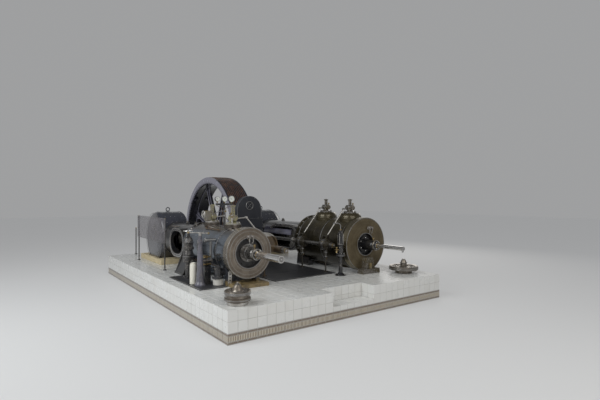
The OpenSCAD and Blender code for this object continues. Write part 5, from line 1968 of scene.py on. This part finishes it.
@dataclass(frozen=True)
class CasingBoards:
    """The pine boards round the feet of the crank casings."""

    width: float = 0.1153
    gap: float = 0.001

    def build(self) -> None:
        """Lays two long boards and six cross boards round each casing."""
        low, high = corners("casing_boards")
        ground, top = low.z, high.z - 0.001
        made = Shape(PINE_ALONG, PINE_ACROSS, EDGE_STEEL)
        for side in (LEFT, RIGHT):
            middle, inward = side.origin.x, -side.sign
            for x0, x1 in ((-0.4395, -0.3615), (0.2915, 0.3095)):
                made.use(PINE_ALONG)
                made.block((middle + inward * x0, 0.961, ground), (middle + inward * x1, 2.439, top))
            x0, x1 = sorted((middle - inward * 0.3595, middle + inward * 0.2895))
            for k in range(3):
                for y in (0.961 + k * self.width, 2.439 - (k + 1) * self.width):
                    made.use(PINE_ACROSS)
                    made.block((x0, y + self.gap, ground), (x1, y + self.width - self.gap, top))
                    for x in (x0 + 0.04, x1 - 0.04):
                        made.use(EDGE_STEEL).on(Axis.Z, (x, y + 0.057, top))
                        made.disc(0.004, -0.001, 0.0008, 8, 0.0002)
        boards = made.piece("casing_planks", "pale_timber")
        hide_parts("casing_boards")


@dataclass(frozen=True)
class WheelDress:
    """The laid ropes, the rim's lugs and bolts and the hub's keys of the rope wheel."""

    centre: Point = (0.0, 1.70, 1.60)
    rope_ring: float = 1.4205
    ropes: int = 10
    pitch: float = 0.048

    def start(self, *finishes: Finish) -> Shape:
        """Starts a piece in measures from the wheel's centre."""
        return Shape(*finishes, origin=self.centre, axis=Axis.X)

    def build(self) -> None:
        """Builds the ropes and the wheel's iron fittings, which turn with the crankshaft."""
        laid = self.start(HEMP)
        for k in range(self.ropes):
            x = (k - (self.ropes - 1) / 2) * self.pitch
            made = Trees.get("rope").mesh(HEMP, Radius=self.rope_ring, Rope_Radius=0.0187, Steps=360, Lays=110)
            laid.add(made, Matrix.Translation((x, 0, 0)) @ Axis.X.turn())
        ropes = laid.piece("laid_ropes", "rope_fibre", "crank_train")
        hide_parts("drive_ropes")
        self.rim()
        self.hub()

    def rim(self) -> None:
        """Builds the rim's edge hoops, light violet-grey as painted light on its faces, and the lugs and nuts
        where its segments meet.
        """
        made = self.start(WHEEL_LIT_EDGE, STEEL, WHEEL_PAINT)
        # The edge hoops carry painted light: the light violet-grey of the rim's lit side faces.
        for s in (-1, 1):
            made.hoop(1.385, 1.428, s * 0.272, s * 0.2747, 144)
            made.hoop(1.312, 1.380, s * 0.269, s * 0.2744, 144)
        for degrees in spread(42.5, 357.5, 8):
            out = Axis.X.out(math.radians(degrees))
            along = Vector((0.0, -out.z, out.y))
            turn = Matrix((Vector((1, 0, 0)), along, out)).transposed().to_4x4()
            facing = along.to_track_quat("Z", "Y").to_matrix().to_4x4()
            for x in (-0.16, 0.16):
                at = Vector((x, 0, 0)) + out * 1.285
                made.use(WHEEL_PAINT).block((-0.055, -0.030, -0.028), (0.055, 0.030, 0.028), 0.004,
                                            Matrix.Translation(at) @ turn)
                for shift in (-0.028, 0.028):
                    nut = Trees.get("bolts").mesh(STEEL, Count=1, Radius=0.0, Nut_Radius=0.014, Start=0.0)
                    place = at + Vector((shift, 0, 0)) + along * 0.030
                    made.use(STEEL).add(nut, Matrix.Translation(place) @ facing)
        made.piece("wheel_rim_fittings", "violet_grey", "crank_train")

    def hub(self) -> None:
        """Builds the hub's rings, bolts and keys."""
        made = self.start(WHEEL_PAINT, STEEL, EDGE_STEEL)
        for s in (-1, 1):
            made.use(EDGE_STEEL).hoop(0.127, 0.175, s * 0.229, s * 0.238, 56)
            made.use(WHEEL_PAINT).hoop(0.235, 0.285, s * 0.229, s * 0.238, 72)
            made.use(STEEL).bolts(8, 0.260, 0.020, s * 0.238, s < 0, 0.35)
            made.block((s * 0.230, -0.018, 0.128), (s * 0.265, 0.018, 0.150))
        made.piece("wheel_hub_fittings", "violet_grey", "crank_train")


@dataclass(frozen=True)
class ShieldDress:
    """The folded edge, rivets, ring and catches of the arched shield."""

    half: float = 0.305
    face: float = 0.070
    ring_z: float = 1.29

    def build(self) -> None:
        """Builds the shield's bead, its rows of rivets, its seam and its ring."""
        low, high = corners("wheel_shield")
        half, base, seam = self.half, low.z, low.z + 1.0
        spring = high.z - half
        made = Shape(SHIELD_EDGE, SHIELD_PAINT, EDGE_STEEL, origin=(0, self.face, 0), axis=Axis.Y)
        arch = [(half * math.cos(t), spring + half * math.sin(t)) for t in spread(0.0, math.pi, 33)]
        outline = [(half, seam), *arch, (-half, seam)]
        inner = [(x * 0.982, seam + (z - seam) * 0.992 + 0.002) for x, z in outline]
        made.band(inner, outline, -0.004, 0.001)
        made.use(EDGE_STEEL).on(Axis.Y, (0, 0, base + self.ring_z))
        bead = [(math.cos(t) * 0.0065 + 0.089, math.sin(t) * 0.004 - 0.009) for t in round_turns(8)]
        made.turned(bead, 56, ring=True)
        for turn in (math.pi / 4, -math.pi / 4):
            out = Axis.Y.out(turn, 0.086)
            made.tube([made.centre + Vector((0, -0.009, 0)) + out * s for s in (-1, 1)], 0.004, 8)
        made.bolts(1, 0.0, 0.012, -0.016, True)
        made.use(SHIELD_PAINT).block((-0.345, -0.016, seam - 0.012), (0.345, -0.007, seam + 0.014), 0.002)
        upright = Matrix.Rotation(math.pi / 2, 4, "X")
        turned = upright @ Matrix.Rotation(math.pi / 2, 4, "Z")
        made.use(EDGE_STEEL)
        for count, length, place, turn in ((22, 0.66, (-0.33, -0.016, seam), upright),
                                           (14, 0.90, (-0.334, -0.008, base + 0.05), turned),
                                           (14, 0.90, (0.334, -0.008, base + 0.05), turned)):
            rivets = Trees.get("rivets").mesh(EDGE_STEEL, Count=count, Length=length, Head_Radius=0.005)
            made.add(rivets, Matrix.Translation(place) @ turn)
        for x, z in arch[2:-2:3]:
            made.on(Axis.Y, (x * 0.94, -0.001, spring + (z - spring) * 0.94)).disc(0.005, -0.004, 0.001, 10)
        for x in (-0.20, 0.20):
            made.use(SHIELD_PAINT)
            made.block((x - 0.05, -0.026, base + 0.80), (x + 0.05, -0.008, base + 0.822), 0.004)
            made.use(EDGE_STEEL).on(Axis.Y, (x, -0.026, base + 0.811)).bolts(2, 0.035, 0.006, 0.0, True)
        made.piece("shield_fittings", "shield_paint")


@dataclass(frozen=True)
class GaugeDress:
    """Bezels, dials, marks, pointers and pipes of the three gauges."""

    pitch: float = 0.160
    radii: tuple[float, float, float] = (0.049, 0.058, 0.067)
    turns: tuple[float, float, float] = (35.0, -60.0, 80.0)

    def build(self) -> None:
        """Builds one gauge on each stalk of the stand."""
        low, high = corners("gauge_stand")
        middle = (low.x + high.x) / 2 + (self.radii[0] - self.radii[2]) / 2
        made = Shape(BLACK_GLOSS, DIAL_CARD, DIAL_INK, BRASS, COPPER, EDGE_STEEL,
                     origin=(middle, (low.y + high.y) / 2, low.z))
        tall = high.z - low.z - self.radii[2]
        for i, radius in enumerate(self.radii):
            x = (i - 1) * self.pitch
            made.on(Axis.Y, (x, -0.022, tall))
            made.use(EDGE_STEEL).hoop(radius - 0.0045, radius - 0.0005, -0.006, 0.004, 48, 0.0015)
            made.use(DIAL_CARD).disc(radius - 0.004, -0.004, 0.001, 48, 0.0004)
            made.use(DIAL_INK)
            for k in range(11):
                self.mark(made, radius * 0.70, radius * 0.82, math.radians(225 - 27 * k), 0.0012)
            self.mark(made, radius * -0.18, radius * 0.66, math.radians(90 + self.turns[i]), 0.0022)
            made.disc(0.006, -0.009, -0.004, 14)
            made.use(BRASS).on(Axis.Z, (x, 0, tall - radius)).disc(0.014, -0.026, 0.0, 8)
            made.disc(0.009, -0.050, -0.026, 12)
            foot = (i - 1) * 0.022
            made.use(COPPER).bent([(x, 0.006, tall - radius - 0.045), (x, 0.028, tall - radius - 0.085),
                                   (foot, 0.030, tall - 0.20), (foot, 0.030, 0.05)], 0.005, 0.05)
        made.use(BLACK_GLOSS)
        for z in spread(0.25, 1.09, 4):
            made.block((-0.036, -0.024, z), (0.036, 0.038, z + 0.012))
        made.use(BRASS).on(Axis.Z).bolts(3, 0.044, 0.007, 0.020)
        made.piece("gauge_fittings", "black_iron")

    @staticmethod
    def mark(shape: Shape, inner: float, outer: float, turn: float, width: float) -> None:
        """Adds one straight mark that points away from a dial's middle.

        Args:
            shape: The piece that gets it.
            inner: Where it starts.
            outer: Where it ends.
            turn: Its direction.
            width: Half its width at the start.
        """
        u, v = math.cos(turn), math.sin(turn)
        ends = ((inner, -width), (outer, -width * 0.6), (outer, width * 0.6), (inner, width))
        shape.plate([(u * out - v * wide, v * out + u * wide) for out, wide in ends], -0.0065, -0.0040)


@dataclass(frozen=True)
class GuardDress:
    """The wire-mesh panel on its frame, and the caps and clips of the guard posts."""

    post_x: float = -1.845

    def build(self) -> None:
        """Weaves the mesh, and builds its frame and the posts' fittings."""
        low, high = corners("guard_panel")
        self.panel((low.x + high.x) / 2, low, high)
        self.posts(low.z, high.z)

    def panel(self, x: float, low: Vector, high: Vector) -> None:
        """Weaves the wire mesh and builds its frame.

        Args:
            x: Where the panel is across the plinth.
            low: The lowest corner of its box.
            high: The highest corner of its box.
        """
        woven = Trees.get("wires").mesh(WIRE, Width=high.y - low.y - 0.012, Height=high.z - low.z - 0.012,
                                        Across=150, Up=40, Wire=0.0011)
        turn = Matrix.Rotation(math.pi / 2, 4, "Z") @ Matrix.Rotation(math.pi / 2, 4, "X")
        made = Shape(WIRE, EDGE_STEEL)
        made.add(woven, Matrix.Translation((x, low.y + 0.006, low.z + 0.006)) @ turn).use(EDGE_STEEL)
        thick = 0.004
        for y0, z0, y1, z1 in ((low.y, low.z, high.y, low.z + thick), (high.y - thick, low.z, high.y, high.z),
                               (low.y, high.z - thick, high.y, high.z), (low.y, low.z, low.y + thick, high.z)):
            made.block((x - thick, y0, z0), (x + thick, y1, z1), 0.001)
        panel = made.piece("guard_mesh", "mesh_wire")
        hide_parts("guard_panel")

    def posts(self, low: float, high: float) -> None:
        """Builds the posts' caps, clips and foot nuts.

        Args:
            low: Height of the panel's foot.
            high: Height of its top.
        """
        posts = Shape(BLACK_IRON, BRASS, STEEL)
        x, ground = self.post_x, low - 0.55
        for y in (0.27, 2.06):
            posts.use(BRASS).on(Axis.Z, (x, y, high))
            posts.turned([(0.0, -0.012), (0.0145, -0.012), (0.0165, -0.006), (0.0145, 0.0), (0.0, 0.0)], 20)
            posts.on(Axis.Z, (x, y, 0)).use(BLACK_IRON)
            for z in (low + 0.03, high - 0.05):
                posts.hoop(0.0135, 0.019, z, z + 0.018, 20)
                posts.block((x - 0.020, y - 0.008, z), (x - 0.012, y + 0.008, z + 0.018), 0.002)
            posts.use(STEEL).bolts(3, 0.024, 0.005, ground + 0.012)
        posts.on(Axis.Z, (-1.60, 3.20, ground)).bolts(3, 0.024, 0.005, 0.012)
        posts.use(BRASS).turned([(0.0, 0.668), (0.0145, 0.668), (0.017, 0.678), (0.013, 0.6895),
                                 (0.0, 0.6895)], 20)
        posts.piece("guard_post_caps", "black_iron")


@dataclass(frozen=True)
class StandingGear:
    """Levers, handwheels, cocks and lagging of what stands on the plinth, measured from each foot."""

    def build(self) -> None:
        """Dresses each standing piece in turn."""
        self.indicator()
        self.stop_valve()
        self.drip_box()
        self.stub()
        self.can()
        self.drain_column()

    @staticmethod
    def start(node: str, *finishes: Finish) -> tuple[Shape, float]:
        """Starts a piece at the foot of a standing node, and gives the node's height too.

        Args:
            node: The node's name.
            *finishes: The piece's finishes.

        Returns:
            The piece and the node's height.
        """
        low, high = corners(node)
        foot = ((low.x + high.x) / 2, (low.y + high.y) / 2, low.z)
        return Shape(*finishes, origin=foot), high.z - low.z

    def indicator(self) -> None:
        """Builds the lever, the bright rod and the bands of the slender column."""
        made, top = self.start("indicator_column", STEEL, BRASS, COLUMN_PAINT, EDGE_STEEL)
        made.disc(0.024, top - 0.002, top + 0.060, 24)
        made.tube([(-0.205, 0, top + 0.062), (0, 0, top + 0.048)], 0.0095, 12)
        made.tube([(0, 0, top + 0.046), (0.165, 0, top + 0.030)], 0.013, 14)
        made.use(BRASS).on(Axis.Y, (-0.205, 0, top + 0.062)).disc(0.016, -0.018, 0.018, 20)
        made.on(Axis.X, (0.150, 0, top + 0.032)).disc(0.020, -0.012, 0.012, 20)
        made.use(COLUMN_PAINT).on(Axis.Z)
        for z, radius in ((0.150, 0.058), (0.540, 0.0435), (0.330, 0.050)):
            made.hoop(radius - 0.004, radius + 0.006, z, z + 0.014, 40, 0.004)
        made.use(EDGE_STEEL).bolts(4, 0.078, 0.008, 0.013, False, 0.78)
        made.use(BRASS).bolts(4, 0.040, 0.006, 0.745)
        made.piece("indicator_fittings", "violet_grey")

    def stop_valve(self) -> None:
        """Builds the stop valve's handwheel, yoke, gland and flange nuts."""
        made, top = self.start("stop_valve", STEEL, EDGE_STEEL, BLACK_GLOSS, BRASS)
        made.tube([(0, 0, top), (0, 0, top + 0.055)], 0.012, 12)
        made.on(Axis.Z, (0, 0, top + 0.050)).handwheel(0.085, 36, 0.014, 0.014, 0.082, 0.0055)
        made.use(EDGE_STEEL).on(Axis.Z)
        for z, ring, flip in ((0.550, 0.088, False), (0.520, 0.088, True), (0.025, 0.080, False)):
            made.bolts(8, ring, 0.009, z, flip, 0.2)
        made.hoop(0.0965, 0.101, 0.385, 0.400, 48)
        made.use(BRASS).disc(0.022, 0.760, 0.792, 6, 0.001)
        made.use(BLACK_GLOSS).hoop(0.093, 0.100, 0.636, 0.646, 48).use(EDGE_STEEL)
        for turn in round_turns(2, 0.6):
            low, high = Axis.Z.out(turn, 0.055), Axis.Z.out(turn, 0.030)
            made.tube([low + Vector((0, 0, 0.74)), high + Vector((0, 0, top + 0.030))], 0.007, 8)
        made.piece("stop_valve_fittings", "black_iron")

    def drip_box(self) -> None:
        """Builds the brass and brown cocks above the drip box, its glass, its lid and its relief pipe."""
        made = Shape(BRASS, RED_IRON, BLACK_GLOSS, EDGE_STEEL,
                     origin=(-1.75, -1.53, corners("drain_fittings")[0].z))
        made.use(BLACK_GLOSS).block((-0.057, -0.057, 0.285), (0.057, 0.057, 0.297), 0.004)
        for x in spread(-0.040, 0.040, 5):
            made.block((x - 0.0035, -0.0560, 0.03), (x + 0.0035, -0.0520, 0.27), 0.001)
        for z, reach, finish in ((0.330, 0.070, BRASS), (0.392, 0.082, RED_IRON), (0.452, 0.062, BRASS)):
            made.use(finish).on(Axis.X, (-0.006, -0.036, z))
            made.turned([(0.0, -reach), (0.016, -reach + 0.002), (0.020, -reach + 0.014),
                         (0.013, -reach + 0.020), (0.013, -0.020), (0.024, -0.016), (0.024, 0.016), (0.013, 0.020),
                         (0.013, reach - 0.016), (0.018, reach - 0.012), (0.018, reach), (0.0, reach)], 20)
            made.tube([(-0.006, -0.060, z), (-0.006, -0.095, z + 0.012)], 0.006, 10)
            made.on(Axis.X, (-0.006, -0.097, z + 0.013)).disc(0.010, -0.030, 0.030, 12)
        made.use(BRASS).on(Axis.Z, (-0.020, 0, 0)).hoop(0.0305, 0.036, 0.470, 0.482, 28)
        made.use(EDGE_STEEL).bolts(4, 0.034, 0.006, 0.390, False, 0.4)
        made.on(Axis.X, (0.030, -0.030, 0.735))
        made.turned([(0.0, -0.080), (0.030, -0.080), (0.036, -0.072), (0.036, -0.056), (0.028, -0.050),
                     (0.028, 0.118), (0.0, 0.118)], 28)
        made.tube([(0.065, -0.030, 0.735), (0.065, -0.030, 0.400)], 0.021, 20)
        made.on(Axis.Z, (0.065, -0.030, 0)).hoop(0.0205, 0.034, 0.655, 0.675, 28)
        made.on(Axis.X, (0.082, 0, 0.383)).bolts(6, 0.028, 0.005)
        made.piece("drip_box_cocks", "brass")

    def stub(self) -> None:
        """Wraps the foot of the drain stub in cloth and bolts its flange."""
        made = Shape(LAGGED, EDGE_STEEL, BLACK_IRON, origin=(-1.645, -1.76, corners("drain_fittings")[0].z))
        turns = [(radius, 0.004 + k * 0.015 + rise) for k in range(7)
                 for radius, rise in ((0.084, 0.002), (0.086, 0.007), (0.083, 0.013))]
        made.turned([(0.0755, 0.002), *turns, (0.0755, 0.110)], 44, ring=True)
        made.use(EDGE_STEEL).bolts(8, 0.086, 0.010, 0.148, False, 0.2)
        made.bolts(8, 0.086, 0.010, 0.112, True, 0.2)
        made.use(BLACK_IRON).bolts(1, 0.0, 0.026, 0.301).hoop(0.067, 0.075, 0.262, 0.276, 40, 0.004)
        made.piece("drain_stub_lagging", "black_iron")

    def can(self) -> None:
        """Builds the can's bands, its bail and its cap."""
        made, top = self.start("oil_can", CREAM, EDGE_STEEL)
        for z in (0.010, 0.312):
            made.hoop(0.0605, 0.0645, z, z + 0.008, 44, 0.002)
        made.turned([(0.0, top - 0.001), (0.040, top - 0.001), (0.040, top + 0.012), (0.030, top + 0.018),
                     (0.0, top + 0.020)], 32)
        bail = [(0.066 * math.cos(t), 0.0, 0.30 + 0.10 * math.sin(t)) for t in spread(0.0, math.pi, 17)]
        made.use(EDGE_STEEL).tube(bail, 0.003, 8)
        for x in (-0.066, 0.066):
            made.on(Axis.X, (x, 0, 0.298)).disc(0.009, -0.005, 0.005, 14)
        made.piece("oil_can_bail", "cream_enamel")

    def drain_column(self) -> None:
        """Builds the cage rods, bright flanges, bent pipe and brass cross of the drain column."""
        made = self.start("drain_column", STEEL, BRASS, BLACK_GLOSS, EDGE_STEEL)[0]
        for z, ring, radius, rise in ((0.362, 0.072, 0.085, 0.048), (0.572, 0.050, 0.0595, 0.014)):
            made.use(EDGE_STEEL).hoop(radius - 0.002, radius + 0.003, z + 0.010, z + 0.020, 40)
            made.use(STEEL).bolts(6, ring, 0.008, z + rise)
        for turn in round_turns(4, 0.5):
            x, y, _ = Axis.Z.out(turn, 0.052)
            made.tube([(x, y, 0.592), (x, y, 0.780)], 0.0055, 8)
        made.use(BRASS).disc(0.020, 0.845, 0.872, 6, 0.001)
        made.use(EDGE_STEEL).bolts(4, 0.082, 0.009, 0.018, False, 0.4)
        made.bent([(0, 0, 0.845), (0, 0, 0.960), (-0.070, 0.010, 0.985), (-0.155, 0.030, 0.985)],
                  0.011, 0.05, 12)
        made.use(BRASS).on(Axis.Z, (-0.100, 0, 0.490))
        made.turned([(0.0, -0.065), (0.012, -0.065), (0.020, -0.050), (0.014, -0.030), (0.014, 0.030),
                     (0.020, 0.040), (0.020, 0.052), (0.0, 0.055)], 18)
        made.tube([(-0.100, 0, 0.490), (-0.040, 0, 0.490)], 0.013, 12)
        made.on(Axis.Y, (-0.100, 0, 0.490))
        made.turned([(0.0, -0.045), (0.009, -0.045), (0.013, -0.030), (0.013, 0.030), (0.009, 0.045),
                     (0.0, 0.045)], 16)
        made.piece("drain_column_fittings", "black_gloss")


@dataclass(frozen=True)
class SparePistons:
    """Rings, studs and nuts of the two pistons shown on the plinth."""

    def build(self) -> None:
        """Builds the fittings of the tall small piston and of the flat large one."""
        made, _ = StandingGear.start("small_spare_piston", STEEL, EDGE_STEEL, RED_IRON, BLACK_IRON)
        made.hoop(0.1485, 0.1525, 0.004, 0.040, 64).use(EDGE_STEEL)
        for z in (0.066, 0.144, 0.162):
            made.hoop(0.1815, 0.1845, z, z + 0.012, 64)
        made.use(BLACK_IRON).disc(0.040, 0.236, 0.276, 6, 0.002)
        made.use(RED_IRON).bolts(6, 0.125, 0.012, 0.180, False, 0.3)
        made.turned([(0.0, 0.262), (0.016, 0.262), (0.016, 0.290), (0.010, 0.300), (0.0, 0.302)], 20)
        made.hoop(0.100, 0.112, 0.176, 0.186, 48)
        made.piece("small_piston_rings", "bright_steel")
        flat, _ = StandingGear.start("large_spare_piston", STEEL, EDGE_STEEL, RED_IRON, DARK_IRON)
        flat.bolts(10, 0.160, 0.013, 0.109, False, 0.2).hoop(0.010, 0.030, 0.250, 0.266, 24, 0.004)
        flat.use(EDGE_STEEL).hoop(0.222, 0.232, 0.117, 0.128, 72)
        for z in (0.073, 0.090, 0.107):
            flat.hoop(0.2795, 0.2825, z, z + 0.008, 80)
        flat.use(DARK_IRON).disc(0.062, 0.132, 0.178, 6)
        flat.use(RED_IRON).hoop(0.058, 0.070, 0.184, 0.200, 40, 0.004)
        flat.piece("large_piston_rings", "bright_steel")


@dataclass(frozen=True)
class RodDress:
    """Cotters, brasses and oil boxes that move with one piston rod and crosshead."""

    side: Side

    def build(self) -> None:
        """Builds the crosshead's nuts and oil box, and the end of the tail rod."""
        side, rod, body = self.side, self.side.rod_r, f"{self.side.name}_rods"
        low, high = side.box("crosshead")
        y = (low.y + high.y) / 2
        made = side.start(BRASS, STEEL, EDGE_STEEL)
        for s, face in ((-1, -0.096), (1, 0.089)):
            made.use(STEEL).on(Axis.X, (face, y, 0)).disc(0.052, -0.003, 0.010, 28)
            made.use(BRASS).on(Axis.X, (s * 0.099, y, 0)).bolts(6, 0.036, 0.006, 0.0, s < 0)
            z = s * 0.285
            made.use(EDGE_STEEL).block((-0.100, y - 0.085, z - 0.006), (0.100, y + 0.085, z + 0.006))
            made.use(STEEL).on(Axis.Z, (0, y, s * 0.205)).bolts(2, 0.070, 0.009, 0.0, s > 0, 1.57)
        made.use(BRASS).on(Axis.Z, (0, low.y + 0.009, 0.235))
        made.turned([(0.0, -0.02), (0.018, -0.02), (0.022, 0.0), (0.018, 0.024), (0.0, 0.026)], 20)
        made.piece(f"{side.name}_crosshead_fittings", "bright_steel", body)
        tail = side.box("piston_rod")[0].y
        tip = side.start(EDGE_STEEL, STEEL)
        tip.hoop(0.010, rod * 0.82, tail - 0.0002, tail + 0.0030, 32, 0.001)
        tip.hoop(rod + 0.0002, rod + 0.0020, tail + 0.012, tail + 0.020, 40, 0.0008)
        if side is RIGHT:
            tip.on(Axis.Z, (0, tail + 0.02, -rod))
            tip.turned([(0.0, -0.030), (0.014, -0.028), (0.018, -0.014), (0.011, 0.0), (0.0, 0.0)], 20)
        tip.piece(f"{side.name}_tail_rod_end", "bright_steel", body)


@dataclass(frozen=True)
class FootDress:
    """Holding-down bolts, ribs and edges of the cylinder feet and the bearings, with painted shade for the holes
    in the left foot's edge.
    """

    shaft_y: float = 1.70

    def build(self) -> None:
        """Builds the fittings of both feet, the bearings and the gear cases."""
        self.left_foot(LEFT.ground)
        self.right_foot(RIGHT.ground)
        for side in (LEFT, RIGHT):
            self.bearing(side)

    def left_foot(self, ground: float) -> None:
        """Builds the bright edge, with black discs painted as the shade in its holes, the nuts and the ribs of the
        left cylinder's foot.

        Args:
            ground: Height of the plinth's top.
        """
        low, high = LEFT.box("cylinder_foot")
        made = LEFT.start(EDGE_STEEL, STEEL, LEFT_FOOT, BLACK_IRON)
        x, y = low.x, high.y - 0.110
        made.use(STEEL)
        made.block((x - 0.004, y - 0.012, ground + 0.004), (x + 0.060, y - 0.002, ground + 0.250), 0.002)
        # Painted shade: black discs on the bright edge stand for the dark insides of its holes.
        made.use(BLACK_IRON)
        for z in spread(0.050, 0.200, 4):
            made.on(Axis.Y, (x + 0.028, y, ground + z)).disc(0.012, -0.0150, -0.0110, 16)
        made.use(STEEL).on(Axis.Z)
        for across in (-0.22, 0.0, 0.22):
            made.nut(0.022, (across, low.y + 0.060, ground + 0.060))
        made.use(LEFT_FOOT).on(Axis.X)
        rib = [(low.y + 0.10, ground + 0.06), (y + 0.02, ground + 0.06), (y + 0.02, ground + 0.15)]
        for across in (-0.16, 0.16):
            made.plate(rib, across - 0.012, across + 0.012)
        made.piece("left_foot_fittings", "foot_paint")

    def right_foot(self, ground: float) -> None:
        """Builds the nuts and the rib of the right cylinder's foot.

        Args:
            ground: Height of the plinth's top.
        """
        y = RIGHT.box("cylinder_foot")[0].y
        made = RIGHT.start(OCHRE_IRON, STEEL, EDGE_STEEL, axis=Axis.Z)
        made.block((-0.014, y + 0.006, ground + 0.088), (0.014, y + 0.052, ground + 0.200), 0.004).use(STEEL)
        for across in (-0.17, 0.17):
            made.nut(0.022, (across, y + 0.07, ground + 0.090))
        made.on(Axis.Y)
        for across in (-0.06, 0.06):
            made.nut(0.014, (across, y + 0.048, ground + 0.255), True)
        made.piece("right_foot_fittings", "foot_paint")

    def bearing(self, side: Side) -> None:
        """Builds the cap line, oil box and nuts of a main bearing and its gear case.

        Args:
            side: The engine that it is on.
        """
        made = side.start(DARK_IRON, STEEL, BRASS, EDGE_STEEL, axis=Axis.Z)
        y = self.shaft_y
        x0, x1 = sorted((-side.sign * 0.322, -side.sign * 0.538))
        middle = (x0 + x1) / 2
        for s in (-1, 1):
            cap = y + s * 0.232
            made.use(DARK_IRON).block((x0 + 0.01, cap - 0.030, -0.03), (x1 - 0.01, cap + 0.030, 0.055), 0.008)
            made.use(STEEL).nut(0.024, (middle, y + s * 0.235, 0.055))
            for x in (x0 + 0.05, x1 - 0.05):
                made.nut(0.018, (x, y + s * 0.270, side.ground + 0.104))
        made.use(BRASS).block((middle - 0.05, y - 0.04, 0.205), (middle + 0.05, y + 0.04, 0.255), 0.008)
        made.use(EDGE_STEEL).block((middle - 0.055, y - 0.045, 0.253), (middle + 0.055, y + 0.045, 0.262))
        face = -side.sign * 0.740
        made.use(STEEL).on(Axis.X, (0, y, 0)).bolts(10, 0.205, 0.009, face, side is RIGHT)
        made.use(DARK_IRON).hoop(0.134, 0.170, face, face - side.sign * 0.006, 48)
        made.piece(f"{side.name}_bearing_fittings", "dark_iron")


@dataclass(frozen=True)
class FloorEdges:
    """The light kerb strips and screws round the iron floor plates."""

    width: float = 0.022

    def build(self) -> None:
        """Lays a strip along each edge of both plates."""
        made = Shape(EDGE_STEEL, STEEL, FLOOR_IRON, origin=(0, 0, corners("plinth")[1].z))
        w, top = self.width, 0.0145
        for x0, x1, y0, y1 in ((-2.05, -1.57, -1.96, -0.57), (-0.70, 0.70, -2.05, -0.04)):
            made.use(EDGE_STEEL)
            for a, b, c, d in ((x0, x0 + w, y0, y1), (x1 - w, x1, y0, y1),
                               (x0 + w, x1 - w, y0, y0 + w), (x0 + w, x1 - w, y1 - w, y1)):
                made.block((a, c, 0.010), (b, d, top), 0.001)
            made.use(FLOOR_IRON)
            for y in spread(y0, y1, 4)[1:-1]:
                made.block((x0 + w, y - 0.012, 0.011), (x1 - w, y - 0.002, top - 0.001), 0.001)
            made.use(STEEL)
            for y in spread(y0 + 0.04, y1 - 0.04, 9):
                for x in (x0 + w / 2, x1 - w / 2):
                    made.on(Axis.Z, (x, y, top)).disc(0.006, 0.0, 0.003, 10, 0.001)
        made.piece("floor_plate_edges", "black_plate")


def dress_nodes(frame: dict[str, Any]) -> None:
    """Gives each node of the frame its finish.

    Args:
        frame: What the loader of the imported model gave.
    """
    for finish, names in NODE_FINISHES.items():
        for name in names.split():
            mesh = frame["nodes"][name].data
            mesh.materials.clear()
            mesh.materials.append(finish.material())
            LOG.info("%s is finished in %s", name, finish.name)


def main() -> None:
    """Loads the frame, dresses the engine and finishes the scene."""
    logging.basicConfig(level=logging.INFO, format="%(message)s")
    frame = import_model()
    bpy.context.scene.view_settings.view_transform = "Standard"
    Studio().build(*corners("plinth"))
    dress_nodes(frame)
    TiledPlinth().build()
    for side in (LEFT, RIGHT):
        for dress in (CylinderDress, CoverDress, ValveDress, TripGearDress, GuideDress, CasingDress, RodDress):
            dress(side).build()
    for part in (CasingBoards, WheelDress, ShieldDress, GaugeDress, GuardDress, StandingGear, SparePistons,
                 FootDress, FloorEdges):
        part().build()


if __name__ == "__main__":
    main()
